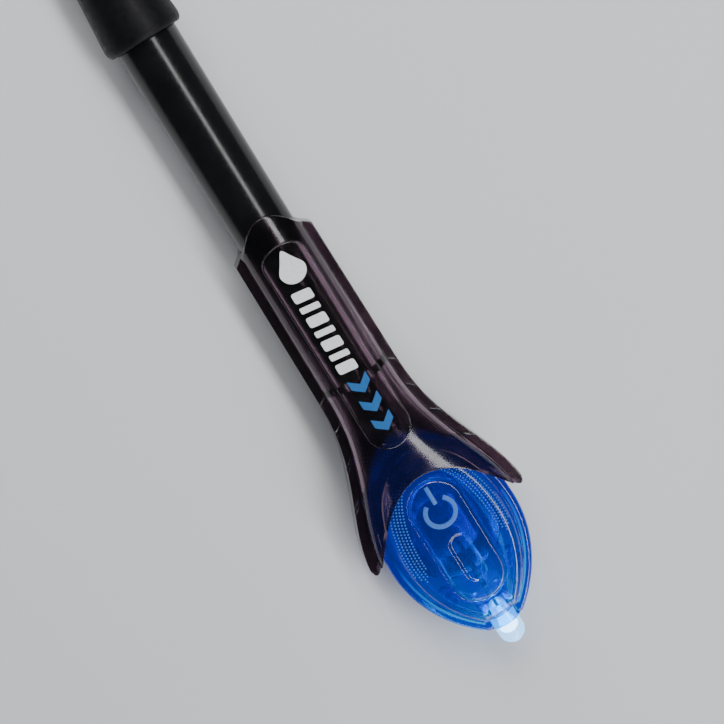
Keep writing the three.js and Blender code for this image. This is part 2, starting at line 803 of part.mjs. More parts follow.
screwPlaces.forEach(([x, y], index) => {
  const screw = piece(`torch_screw_${index + 1}`, torchScrew(), finishes.stainless);
  screw.position.set(x, y, screwHeadHeight + screwWell - torchDepth);
  torch.add(screw);
});
lamp.add(torch);

export default lamp;
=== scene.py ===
import math

import bmesh
import bpy
from bpy.props import FloatProperty, FloatVectorProperty, IntProperty, PointerProperty
from bpy.types import Operator, Panel, PropertyGroup
from mathutils import Matrix, Vector


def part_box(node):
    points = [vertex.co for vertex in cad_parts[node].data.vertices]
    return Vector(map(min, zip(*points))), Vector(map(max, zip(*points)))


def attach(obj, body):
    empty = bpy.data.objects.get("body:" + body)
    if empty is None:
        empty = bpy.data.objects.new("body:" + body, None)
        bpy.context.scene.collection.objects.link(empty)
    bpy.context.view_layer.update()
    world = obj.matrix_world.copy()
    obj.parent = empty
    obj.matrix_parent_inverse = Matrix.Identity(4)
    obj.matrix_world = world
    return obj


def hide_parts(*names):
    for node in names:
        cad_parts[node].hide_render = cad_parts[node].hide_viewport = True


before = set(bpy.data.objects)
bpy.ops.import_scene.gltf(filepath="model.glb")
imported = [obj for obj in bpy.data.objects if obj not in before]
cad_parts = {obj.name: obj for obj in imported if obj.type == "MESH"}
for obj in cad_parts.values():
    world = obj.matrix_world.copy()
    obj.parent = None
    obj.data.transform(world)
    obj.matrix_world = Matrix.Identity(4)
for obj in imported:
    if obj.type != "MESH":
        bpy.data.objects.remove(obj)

bl_info = {
    "name": "UV curing lamp",
    "version": (1, 0, 0),
    "blender": (4, 5, 0),
    "location": "View3D > Sidebar > Curing lamp",
    "description": "Builds the visible pieces of a pen-shaped UV curing lamp round its packed model",
    "category": "Add Mesh",
}

# ---- Frame -------------------------------------------------------------------------------------
# Pieces are drawn in millimetres in the pen's own frame: X along the common axis towards the LED,
# 0 on the face of the bulkhead, Z up through the label. PEN takes them to the row frame.

MM = 0.001
X, Y, Z = 0, 1, 2
SEAT_GAP = 0.1     # between faces that seat on each other
SLIDE_GAP = 0.15   # round what slides in a bore


def span(node, axis):
    """The low and high end of a CAD node along an axis, in millimetres of the row frame."""
    low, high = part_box(node)
    return low[axis] / MM, high[axis] / MM


ORIGIN = Vector((span("glue_barrel", X)[1] + SEAT_GAP, 0, sum(span("glue_barrel", Z)) / 2))
PEN = Matrix.Scale(MM, 4) @ Matrix.Translation(ORIGIN)


def pen_span(node, axis):
    """The same in the pen's own frame."""
    return [value - ORIGIN[axis] for value in span(node, axis)]


BARREL_RADIUS = pen_span("glue_barrel", Z)[1]
NECK_END = pen_span("glue_barrel", X)[0]
NECK_LENGTH = 6
SHOULDER = NECK_END + NECK_LENGTH
SOCKET_RADIUS = BARREL_RADIUS + SLIDE_GAP
HUB_TIP = pen_span("nozzle_hub", X)[0]
HUB_PLUG_END = pen_span("nozzle_hub", X)[1]
NEEDLE_TIP, NEEDLE_BACK = pen_span("dispensing_needle", X)
CAP_END, CAP_LIP = pen_span("cap_shell", X)
CAP_RADIUS = pen_span("cap_shell", Z)[1]
SEAL_BACK, SEAL_FACE = pen_span("cap_seal", X)
MOUTH_SHOULDER = -25.6
WING_TIP = 34.3
WING_HALF_WIDTH = pen_span("holder_front_shell", Y)[1]
PLATEAU_TOP = pen_span("holder_front_shell", Z)[1]
TORCH_TAIL = 21.0
TORCH_NOSE = 19.5
TORCH_NOSE_RUN = 21.5
TORCH_X = pen_span("torch_base_shell", X)[0] + TORCH_TAIL
NOSE = TORCH_X + TORCH_NOSE
TORCH_HALF_WIDTH = pen_span("torch_base_shell", Y)[1]
TORCH_DEPTH = -pen_span("torch_base_shell", Z)[0]
DOME_TOP = pen_span("torch_cover_shell", Z)[1]
BUTTON_TOP = pen_span("press_button", Z)[1]
LED_BACK, LED_TIP = pen_span("led_lens", X)
CELL_X = sum(pen_span("upper_cell_can", X)) / 2
CELL_RADIUS = pen_span("upper_cell_can", Y)[1]

# ---- Settings ----------------------------------------------------------------------------------


def linear(code):
    """An sRGB hex colour as linear RGBA."""
    channels = [int(code[i : i + 2], 16) / 255 for i in (0, 2, 4)]
    return [c / 12.92 if c <= 0.04045 else ((c + 0.055) / 1.055) ** 2.4 for c in channels] + [1.0]


def length(name, description, default):
    """A length property, given in millimetres."""
    return FloatProperty(
        name=name, description=description, default=default * MM, min=0, unit="LENGTH", precision=5
    )


def colour(name, description, code):
    """A colour property, given as sRGB hex."""
    return FloatVectorProperty(
        name=name, description=description, default=linear(code), subtype="COLOR", size=4, min=0, max=1
    )


class LampBarrelSettings(PropertyGroup):
    """Sizes of the barrel and the cap."""

    corner: length("Closed end", "Rounding of the barrel's closed end", 1.6)
    edge: length("Edges", "Rounding of the turned edges", 0.12)
    sides: IntProperty(name="Sides", description="Faces round a turned piece", default=96, min=24)


class LampHolderSettings(PropertyGroup):
    """Sizes of the holder's two shells."""

    wall: length("Wall", "Thickness of the moulded wall", 1.2)
    edge: length("Edges", "Rounding of the outer edges", 0.35)
    plateau_edge: length("Racetrack edge", "Rounding of the raised racetrack", 0.32)


class LampTorchSettings(PropertyGroup):
    """Sizes of the torch."""

    wall: length("Wall", "Thickness of the moulded wall", 1.2)
    ledge_edge: length("Ledge edge", "Rounding of the ledge", 1.0)
    dome_edge: length("Dome edge", "Rounding of the dome", 1.8)
    dot_pitch: length("Dot pitch", "Spacing of the grip dots", 0.6)


class LampFinishSettings(PropertyGroup):
    """Colours of the finishes."""

    smoke: colour("Smoke", "Tint of the holder's clear plastic", "84687a")
    smoke_deep: colour("Smoke, deep", "Its darker flow marks", "6c5464")
    blue: colour("Blue", "Tint of the torch's clear plastic", "0a44d0")
    # Painted glow: the nose colour is the LED's light painted into the plastic near the nose, not a tint
    # of its own.
    painted_nose_glow: colour("Blue, nose", "Its tint towards the lit nose", "12bcfa")
    black: colour("Black", "Barrel and cap", "0c0c0e")
    glow: colour("Glow", "Light of the LED", "74c4ff")
    ink_white: colour("White ink", "Print on the racetrack", "f1f3f5")
    ink_azure: colour("Azure ink", "Print on the racetrack", "0060a8")
    floor: colour("Floor", "The plain pale floor", "e2e4e7")


class LampSettings(PropertyGroup):
    """All settings of the lamp."""

    barrel: PointerProperty(type=LampBarrelSettings)
    holder: PointerProperty(type=LampHolderSettings)
    torch: PointerProperty(type=LampTorchSettings)
    finish: PointerProperty(type=LampFinishSettings)


def settings():
    return bpy.context.scene.curing_lamp


def mm(value):
    """A length property in millimetres."""
    return value / MM


# ---- Materials ---------------------------------------------------------------------------------


def node(tree, kind, inputs=None, **options):
    """Adds a node and gives its main output. inputs maps sockets to values or to other outputs."""
    made = tree.nodes.new(kind)
    for name, value in options.items():
        setattr(made, name, value)
    for name, value in (inputs or {}).items():
        if isinstance(value, bpy.types.NodeSocket):
            tree.links.new(value, made.inputs[name])
        else:
            made.inputs[name].default_value = value
    shown = [socket for socket in made.outputs if socket.enabled]
    return shown[0] if shown else made


def blank(name):
    """The empty tree of a new material, and the surface's position in metres."""
    made = bpy.data.materials.new(name)
    made.use_nodes = True
    made.node_tree.nodes.clear()
    place = node(made.node_tree, "ShaderNodeTexCoord").node.outputs["Object"]
    return made.node_tree, place


def per(size):
    """Noise scale for features about size millimetres across."""
    return 1 / (size * MM)


def scaled(rgba, share):
    return [channel * share for channel in rgba[:3]] + [1.0]


NOISE, RANGE, MIX = "ShaderNodeTexNoise", "ShaderNodeMapRange", "ShaderNodeMix"
BUMP, SHADER, OUTPUT = "ShaderNodeBump", "ShaderNodeBsdfPrincipled", "ShaderNodeOutputMaterial"
FACTOR, FIRST, SECOND = 0, 6, 7  # sockets of a Mix node on colours
DRIFT = {"From Min": 0.3, "From Max": 0.7}  # the part of its range that noise really fills


def smoked_polystyrene():
    # Clear general-purpose polystyrene with smoke dye, polished mould: glassy, faint flow marks.
    finish = settings().finish
    tree, place = blank("smoked_polystyrene")
    flow = node(tree, NOISE, {"Vector": place, "Scale": per(9), "Detail": 1.0, "Distortion": 0.6})
    flow = node(tree, RANGE, {"Value": flow, **DRIFT})
    light, dark = list(finish.smoke), list(finish.smoke_deep)
    tint = node(tree, MIX, {FACTOR: flow, FIRST: light, SECOND: dark}, data_type="RGBA")
    rub = node(tree, NOISE, {"Vector": place, "Scale": per(3), "Detail": 2.0})
    rub = node(tree, RANGE, {"Value": rub, "To Min": 0.1, "To Max": 0.18, **DRIFT})
    wave = node(tree, NOISE, {"Vector": place, "Scale": per(3.2), "Detail": 1.0})
    skin = node(tree, BUMP, {"Height": wave, "Distance": 0.008 * MM})
    shader = node(tree, SHADER, {
        "Base Color": tint, "Roughness": rub, "Normal": skin, "IOR": 1.57, "Transmission Weight": 1.0,
    })
    node(tree, OUTPUT, {"Surface": shader})


def blue_polycarbonate():
    # Clear polycarbonate with cobalt dye, lit from inside. Painted glow of the LED: the colour runs from
    # deep behind to a paler azure towards the LED, and a faint painted glow (emission) lies over the whole
    # shell.
    finish = settings().finish
    tree, place = blank("blue_polycarbonate")
    along = node(tree, "ShaderNodeSeparateXYZ", {"Vector": place})
    # Painted glow: the colour grows paler azure along X towards the LED, standing in for the LED's light
    # in the plastic.
    start, end = (MM * (ORIGIN.x + TORCH_X + run) for run in (-2, TORCH_NOSE - 1))
    led_glow_share = node(tree, RANGE, {"Value": along, "From Min": start, "From Max": end})
    flow = node(tree, NOISE, {"Vector": place, "Scale": per(7), "Detail": 1.0, "Distortion": 0.8})
    flow = node(tree, RANGE, {"Value": flow, "To Min": -0.12, "To Max": 0.12, **DRIFT})
    share = node(tree, "ShaderNodeMath", {0: led_glow_share, 1: flow}, use_clamp=True)
    deep, azure = list(finish.blue), list(finish.painted_nose_glow)
    tint = node(tree, MIX, {FACTOR: share, FIRST: deep, SECOND: azure}, data_type="RGBA")
    rub = node(tree, NOISE, {"Vector": place, "Scale": per(1.2), "Detail": 3.0})
    rub = node(tree, RANGE, {"Value": rub, "To Min": 0.03, "To Max": 0.1, **DRIFT})
    wave = node(tree, NOISE, {"Vector": place, "Scale": per(2), "Detail": 2.0})
    skin = node(tree, BUMP, {"Height": wave, "Distance": 0.01 * MM})
    shader = node(tree, SHADER, {
        "Base Color": tint, "Roughness": rub, "Normal": skin, "IOR": 1.585, "Transmission Weight": 1.0,
        # Painted glow: a faint emission over the whole shell stands in for the LED's light scattered in
        # it.
        "Emission Color": linear("0a55d8"), "Emission Strength": 0.1,
    })
    node(tree, OUTPUT, {"Surface": shader})


def frosted_polycarbonate():
    # The same plastic where the mould is sand-blasted: it scatters the light inside, so it is paler. The
    # pale tint is partly the frost and partly painted highlight on the power sign and the grip dots, and a
    # faint painted glow (emission) lies over it.
    tree, place = blank("frosted_polycarbonate")
    grit = node(tree, NOISE, {"Vector": place, "Scale": per(0.12), "Detail": 2.0})
    share = node(tree, RANGE, {"Value": grit, **DRIFT})
    # Partly painted highlight: these pale blues stand in for light caught on the sign's and dots' ridges
    # as well as for the frost.
    light, dark = linear("5aa4f2"), linear("2c78dc")
    tint = node(tree, MIX, {FACTOR: share, FIRST: dark, SECOND: light}, data_type="RGBA")
    rub = node(tree, RANGE, {"Value": grit, "To Min": 0.3, "To Max": 0.5, **DRIFT})
    skin = node(tree, BUMP, {"Height": grit, "Distance": 0.006 * MM})
    shader = node(tree, SHADER, {
        "Base Color": tint, "Roughness": rub, "Normal": skin, "IOR": 1.585, "Transmission Weight": 0.6,
        # Painted glow: a faint emission stands in for the LED's light in the plastic.
        "Emission Color": linear("2a8cf0"), "Emission Strength": 0.1,
    })
    node(tree, OUTPUT, {"Surface": shader})


def moulded(name, light, dark, roughness, grain, depth, ior=1.49, level=0.5):
    """An opaque moulded plastic: a little drift of colour and gloss, and the mould's own grain."""
    tree, place = blank(name)
    drift = node(tree, NOISE, {"Vector": place, "Scale": per(5), "Detail": 3.0})
    drift = node(tree, RANGE, {"Value": drift, **DRIFT})
    tint = node(tree, MIX, {FACTOR: drift, FIRST: light, SECOND: dark}, data_type="RGBA")
    rub = node(tree, NOISE, {"Vector": place, "Scale": per(0.9), "Detail": 4.0})
    low, high = roughness * 0.8, roughness * 1.25
    rub = node(tree, RANGE, {"Value": rub, "To Min": low, "To Max": high, **DRIFT})
    pits = node(tree, NOISE, {"Vector": place, "Scale": per(grain), "Detail": 3.0})
    skin = node(tree, BUMP, {"Height": pits, "Distance": depth * MM})
    shader = node(tree, SHADER, {
        "Base Color": tint, "Roughness": rub, "Normal": skin, "IOR": ior, "Specular IOR Level": level,
    })
    node(tree, OUTPUT, {"Surface": shader})


def metal(name, code, roughness, grain, stretch):
    """A metal with a fine drawn or turned grain, stretched along X."""
    tree, place = blank(name)
    drawn = node(tree, "ShaderNodeMapping", {"Vector": place, "Scale": (stretch, 1, 1)})
    lines = node(tree, NOISE, {"Vector": drawn, "Scale": per(grain), "Detail": 4.0})
    light, dark = linear(code), scaled(linear(code), 0.8)
    tint = node(tree, MIX, {FACTOR: lines, FIRST: dark, SECOND: light}, data_type="RGBA")
    low, high = roughness * 0.7, roughness * 1.4
    rub = node(tree, RANGE, {"Value": lines, "To Min": low, "To Max": high, **DRIFT})
    skin = node(tree, BUMP, {"Height": lines, "Distance": 0.004 * MM})
    shader = node(tree, SHADER, {
        "Base Color": tint, "Metallic": 1.0, "Roughness": rub, "Normal": skin,
    })
    node(tree, OUTPUT, {"Surface": shader})


def lit_epoxy():
    # Water-clear epoxy of a 5 mm UV LED that is on: bluish white, a little cloudy.
    tree, place = blank("lit_epoxy")
    cloud = node(tree, NOISE, {"Vector": place, "Scale": per(1.5), "Detail": 2.0})
    light, dark = linear("dff0ff"), linear("b4dcff")
    tint = node(tree, MIX, {FACTOR: cloud, FIRST: light, SECOND: dark}, data_type="RGBA")
    rub = node(tree, RANGE, {"Value": cloud, "To Min": 0.1, "To Max": 0.18, **DRIFT})
    shader = node(tree, SHADER, {
        "Base Color": tint, "Roughness": rub, "IOR": 1.54, "Transmission Weight": 0.7,
        "Emission Color": list(settings().finish.glow), "Emission Strength": 0.9,
    })
    node(tree, OUTPUT, {"Surface": shader})


def glowing_die():
    # The LED's chip in its cup, far brighter than the epoxy round it, with a mottled phosphor look.
    tree, place = blank("glowing_die")
    spots = node(tree, NOISE, {"Vector": place, "Scale": per(0.4), "Detail": 2.0})
    light, dark = linear("f4faff"), linear("cfe6ff")
    tint = node(tree, MIX, {FACTOR: spots, FIRST: light, SECOND: dark}, data_type="RGBA")
    rub = node(tree, RANGE, {"Value": spots, "To Min": 0.3, "To Max": 0.5, **DRIFT})
    shader = node(tree, SHADER, {
        "Base Color": tint, "Roughness": rub,
        "Emission Color": linear("c8e8ff"), "Emission Strength": 6.0,
    })
    node(tree, OUTPUT, {"Surface": shader})


def ink(name, rgba):
    # Pad-printed ink: matt, with a fine unevenness where the pad lifted.
    tree, place = blank(name)
    patch = node(tree, NOISE, {"Vector": place, "Scale": per(0.5), "Detail": 3.0})
    share = node(tree, RANGE, {"Value": patch, **DRIFT})
    thin, full = scaled(rgba, 0.86), list(rgba)
    tint = node(tree, MIX, {FACTOR: share, FIRST: thin, SECOND: full}, data_type="RGBA")
    rub = node(tree, RANGE, {"Value": patch, "To Min": 0.35, "To Max": 0.5, **DRIFT})
    skin = node(tree, BUMP, {"Height": patch, "Distance": 0.004 * MM})
    shader = node(tree, SHADER, {"Base Color": tint, "Roughness": rub, "Normal": skin})
    node(tree, OUTPUT, {"Surface": shader})


def pale_card():
    # Matt pale card, with a drift too faint to be a pattern.
    tree, place = blank("pale_card")
    drift = node(tree, NOISE, {"Vector": place, "Scale": per(60), "Detail": 2.0})
    pale = list(settings().finish.floor)
    tones = {FACTOR: drift, FIRST: scaled(pale, 0.97), SECOND: pale}
    tint = node(tree, MIX, tones, data_type="RGBA")
    shader = node(tree, SHADER, {"Base Color": tint, "Roughness": 0.85, "Specular IOR Level": 0.2})
    node(tree, OUTPUT, {"Surface": shader})


def make_materials():
    """Every finish of the lamp, by name."""
    finish = settings().finish
    black = list(finish.black)
    # High-density polyethylene from a polished mould: deep gloss with a fine dusty bloom.
    moulded("black_polyethylene", black, scaled(black, 1.8), 0.2, 0.5, 0.002)
    # Polypropylene from a spark-eroded mould: satin, the highlight spreads wide.
    moulded("black_polypropylene", black, scaled(black, 1.5), 0.46, 0.3, 0.004, level=0.2)
    # Undyed polypropylene: milky and waxy.
    moulded("natural_polypropylene", linear("e6e6de"), linear("d9d9cf"), 0.38, 0.6, 0.004)
    # Silicone rubber: soft, pale and nearly matt.
    moulded("silicone_rubber", linear("cfd0cc"), linear("c2c3be"), 0.6, 0.4, 0.006, 1.41)
    # White ABS from a lightly textured mould.
    moulded("white_abs", linear("dde1e4"), linear("d2d6da"), 0.42, 0.4, 0.005, 1.53)
    # Nylon gasket, dark grey.
    moulded("grey_nylon", linear("33373c"), linear("2a2d31"), 0.5, 0.3, 0.004, 1.53)
    # Nickel-plated steel, drawn: bright with a fine haze.
    metal("nickel_plate", "b9bbc0", 0.3, 0.3, 0.4)
    # Stainless steel tube and screws, drawn along X.
    metal("stainless_steel", "b9bcc0", 0.28, 0.2, 0.1)
    smoked_polystyrene()
    blue_polycarbonate()
    frosted_polycarbonate()
    lit_epoxy()
    glowing_die()
    ink("white_ink", list(finish.ink_white))
    ink("azure_ink", list(finish.ink_azure))


# ---- Meshes ------------------------------------------------------------------------------------

TOUCH = 1e-3  # corners closer than this, in millimetres, are one


def rounded_edges(bm, edges, width, segments=3):
    bmesh.ops.bevel(
        bm, geom=edges, offset=width, offset_type="OFFSET", segments=segments, profile=0.5,
        affect="EDGES", clamp_overlap=True, material=-1,
    )


def sharp_edges(bm, degrees=35):
    limit = math.radians(degrees)
    return [e for e in bm.edges if len(e.link_faces) == 2 and e.calc_face_angle(0) > limit]


def to_mesh(name, bm, crease=32):
    """A mesh from bm with smooth faces, but for edges that turn by more than crease degrees."""
    limit = math.radians(crease)
    for face in bm.faces:
        face.smooth = True
    for edge in bm.edges:
        edge.smooth = edge.calc_face_angle(0) < limit
    mesh = bpy.data.meshes.new(name)
    bm.to_mesh(mesh)
    bm.free()
    return mesh


def to_object(name, bm, crease=32):
    made = bpy.data.objects.new(name, to_mesh(name, bm, crease))
    bpy.context.scene.collection.objects.link(made)
    return made


def finished(made, material, body, slot=None, replaces=()):
    """Places a piece that is still in the pen's frame, and gives it its finish and body; its slot is not
    used.
    """
    made.data.transform(PEN)
    made.data.materials.clear()
    made.data.materials.append(bpy.data.materials[material])
    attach(made, body)
    if replaces:
        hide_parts(*replaces)
    return made


def merged(bm):
    """Merges corners that all but touch, and drops the faces that this leaves without area."""
    bmesh.ops.remove_doubles(bm, verts=bm.verts, dist=TOUCH)
    bmesh.ops.dissolve_degenerate(bm, dist=TOUCH, edges=bm.edges)


def outward(bm):
    merged(bm)
    bmesh.ops.recalc_face_normals(bm, faces=bm.faces)


def closed(bm):
    """Fills what is open and turns every face outwards."""
    bmesh.ops.holes_fill(bm, edges=[e for e in bm.edges if e.is_boundary], sides=0)
    bmesh.ops.recalc_face_normals(bm, faces=bm.faces)
    return bm


def weighted(made):
    """Lets the large faces set the normals of the small ones beside them."""
    made.modifiers.new("weighted normals", "WEIGHTED_NORMAL").keep_sharp = True
    return made


def turned(profile, sides=None, edge=None):
    """A solid of revolution about X from [x, radius] points; a profile off the axis is closed."""
    barrel = settings().barrel
    bm = bmesh.new()
    points = [bm.verts.new((x, 0, radius)) for x, radius in profile]
    ends = points[1:] + ([points[0]] if profile[0][1] > 0 else [])
    for a, b in zip(points, ends):
        bm.edges.new((a, b))
    bmesh.ops.spin(
        bm, geom=bm.verts[:] + bm.edges[:], cent=(0, 0, 0), axis=(1, 0, 0), angle=2 * math.pi,
        steps=sides or barrel.sides, use_merge=True,
    )
    outward(bm)
    width = mm(barrel.edge) if edge is None else edge
    if width:
        rounded_edges(bm, sharp_edges(bm), width)
        outward(bm)
    return bm


def standing(x, y, z):
    """Takes a solid of revolution to one whose axis is Z, its origin at x, y, z."""
    return Matrix.Translation((x, y, z)) @ Matrix.Rotation(-math.pi / 2, 4, "Y")


def rod(low, high, radius, sides=48, edge=0):
    return turned([(low, 0), (low, radius), (high, radius), (high, 0)], sides, edge)


def arc(x, radius, bend, start, end, steps=8):
    """[x, radius] points on a bend of that radius about (x, radius), from start to end degrees."""
    angles = [math.radians(start + (end - start) * i / steps) for i in range(steps + 1)]
    return [(x + bend * math.cos(a), radius + bend * math.sin(a)) for a in angles]


def rounding(radius, steps):
    """How far in and how far down each corner of a rounded edge lies, from its side to its top."""
    turns = [i / steps * math.pi / 2 for i in range(steps + 1)]
    return [(radius * (1 - math.cos(turn)), radius * (1 - math.sin(turn))) for turn in turns]


def sheet(columns, rows, place):
    """A grid whose corner at column i, row j goes to place(i / columns, j / rows)."""
    bm = bmesh.new()
    bmesh.ops.create_grid(bm, x_segments=columns, y_segments=rows, size=1)
    for vert in bm.verts:
        vert.co = place((vert.co.x + 1) / 2, (vert.co.y + 1) / 2)
    return bm


def loft(rings):
    """A closed solid through rings of equal count, each (outline, height)."""
    around = len(rings[0][0])
    steps = len(rings) - 1

    def place(u, v):
        outline, height = rings[round(v * steps)]
        x, y = outline[round(u * around) % around]
        return x, y, height

    bm = sheet(around, steps, place)
    outward(bm)
    return bm


def box(low, high):
    bm = bmesh.new()
    bmesh.ops.create_cube(bm, size=1)
    centre = (Vector(low) + Vector(high)) / 2
    size = Vector(high) - Vector(low)
    place = Matrix.Translation(centre) @ Matrix.Diagonal((*size, 1))
    bmesh.ops.transform(bm, matrix=place, verts=bm.verts)
    return bm


def cut(target, operation, *tools):
    """Joins or carves target with closed solids, exactly, and leaves a plain mesh."""
    helpers = []
    for tool in tools:
        helper = to_object("tool", tool)
        helpers.append(helper)
        modifier = target.modifiers.new("cut", "BOOLEAN")
        modifier.operation = operation
        modifier.solver = "EXACT"
        modifier.object = helper
    bpy.context.view_layer.update()
    shown = target.evaluated_get(bpy.context.evaluated_depsgraph_get())
    mesh = bpy.data.meshes.new_from_object(shown)
    target.modifiers.clear()
    target.data = mesh
    for helper in helpers:
        bpy.data.objects.remove(helper)
    return target


def cleaned(target):
    """Merges what the cuts left almost touching, closes it and marks its sharp edges again."""
    bm = bmesh.new()
    bm.from_mesh(target.data)
    merged(bm)
    target.data = to_mesh(target.name, closed(bm))
    return weighted(target)


# ---- Outlines ----------------------------------------------------------------------------------

RING = 160          # corners of an outline round the torch, in four equal quarters
NOSE_FACE = 10      # of those, on each half of the flat nose
TAIL_POWER = 0.5    # an ellipse
NOSE_POWER = 0.75   # more pointed than an ellipse


def egg(inset):
    """The torch's outline moved inwards, from the middle of the nose round by +Y."""
    nose = TORCH_NOSE - inset

    def reach(x):
        run = (TORCH_TAIL if x < 0 else TORCH_NOSE_RUN) - inset
        power = TAIL_POWER if x < 0 else NOSE_POWER
        return (TORCH_HALF_WIDTH - inset) * max(0.0, 1 - (x / run) ** 2) ** power

    corner = reach(nose)
    half = [(nose, corner * i / NOSE_FACE) for i in range(NOSE_FACE)]
    start = math.acos(nose / (TORCH_NOSE_RUN - inset))
    steps = RING // 2 - NOSE_FACE
    for i in range(steps + 1):
        angle = start + (math.pi - start) * i / steps
        run = (TORCH_TAIL if angle > math.pi / 2 else TORCH_NOSE_RUN) - inset
        x = run * math.cos(angle)
        half.append((x, reach(x)))
    half[-1] = (inset - TORCH_TAIL, 0.0)
    return placed(half)


def placed(half):
    """Half an outline and its mirror image, moved to the torch's place."""
    whole = half + [(x, -y) for x, y in reversed(half[1:-1])]
    return [(TORCH_X + x, y) for x, y in whole]


def racetrack(rear, front, radius):
    """Two half circles about rear and front, from the front tip round by +Y."""
    bend = max(radius, 0.0) * math.pi / 2
    total = 2 * bend + front - rear
    half = []
    for i in range(RING // 2 + 1):
        run = total * i / (RING // 2)
        if run <= bend and bend:
            angle = run / bend * math.pi / 2
            half.append((front + radius * math.cos(angle), radius * math.sin(angle)))
        elif run <= bend + front - rear:
            half.append((front - (run - bend), radius))
        else:
            angle = (run - bend - front + rear) / max(bend, 1e-9) * math.pi / 2
            half.append((rear - radius * math.sin(angle), radius * math.cos(angle)))
    return placed(half)


# ---- Barrel and cap ----------------------------------------------------------------------------

BARREL_WALL = 1.0
NECK_RADIUS, NECK_WALL = BARREL_RADIUS - 1.65, 1.2
PLUG_GAP = 0.05    # round the nozzle's plug in the neck


def make_barrel():
    """The resin barrel with its rounded closed end."""
    end, inside = -SEAT_GAP, -SEAT_GAP - BARREL_WALL
    corner, fillet = mm(settings().barrel.corner), 0.8
    bore, neck_bore = BARREL_RADIUS - BARREL_WALL, NECK_RADIUS - NECK_WALL
    groove_half, groove_depth = 0.3, 0.12
    profile = [(end, 0)] + arc(end - corner, BARREL_RADIUS - corner, corner, 0, 90)
    profile += [(SHOULDER, BARREL_RADIUS), (SHOULDER, NECK_RADIUS)]
    # Two shallow grooves round the neck.
    for groove in (SHOULDER - 1.4, SHOULDER - 3.4):
        profile += [(groove + groove_half, NECK_RADIUS), (groove, NECK_RADIUS - groove_depth)]
        profile += [(groove - groove_half, NECK_RADIUS)]
    profile += [(NECK_END, NECK_RADIUS), (NECK_END, neck_bore)]
    profile += [(SHOULDER + BARREL_WALL, neck_bore), (SHOULDER + BARREL_WALL, bore)]
    profile += [(inside - fillet, bore), (inside, bore - fillet), (inside, 0)]
    made = to_object("barrel_of_resin", turned(profile))
    return finished(made, "black_polyethylene", "barrel", "barrel_plastic", ["glue_barrel"])


def make_nozzle():
    """The nozzle hub with its ribs, and the steel needle."""
    face = NECK_END - SEAT_GAP
    flange = face - 1.2
    plug = NECK_RADIUS - NECK_WALL - PLUG_GAP
    tip, edge = 1.2, 0.08
    socket, socket_end = 0.5, HUB_TIP + 6.1
    radius, bore = 0.45, 0.3
    # The outside: the plug, the flange, a cone with a low ring round it, and the tip.
    profile = [(HUB_PLUG_END, plug), (face, plug), (face, NECK_RADIUS), (flange, NECK_RADIUS)]
    profile += [(flange, NECK_RADIUS * 0.7), (flange - 2.2, NECK_RADIUS * 0.62)]
    profile += [(flange - 2.5, NECK_RADIUS * 0.66), (flange - 2.8, NECK_RADIUS * 0.6), (HUB_TIP, tip)]
    # The inside: the needle's socket, and the way to it, which widens to the plug's end.
    profile += [(HUB_TIP, socket), (socket_end, socket), (socket_end, bore)]
    profile += [(face, 0.9), (HUB_PLUG_END, 1.35)]
    hub = to_object("nozzle_hub_ribbed", turned(profile, 64, edge))
    ribs = []
    for turn in range(4):
        rib = box((HUB_TIP + 2.6, -0.3, 1.1), (face - 1.0, 0.3, NECK_RADIUS - 0.6))
        for vert in rib.verts:
            if vert.co.x < HUB_TIP + 3 and vert.co.z > 1.5:
                vert.co.z = 1.45  # the rib runs out towards the tip
        rounded_edges(rib, rib.edges[:], edge, 2)
        spin = Matrix.Rotation(turn * math.pi / 2 + math.pi / 4, 4, "X")
        bmesh.ops.transform(rib, matrix=spin, verts=rib.verts)
        ribs.append(rib)
    cleaned(cut(hub, "UNION", *ribs))
    finished(hub, "natural_polypropylene", "barrel", "natural_plastic", ["nozzle_hub"])
    tube = [(NEEDLE_BACK, radius), (NEEDLE_TIP, radius), (NEEDLE_TIP, bore), (NEEDLE_BACK, bore)]
    needle = to_object("steel_needle", turned(tube, 32, 0.03))
    finished(needle, "stainless_steel", "barrel", "needle_steel", ["dispensing_needle"])


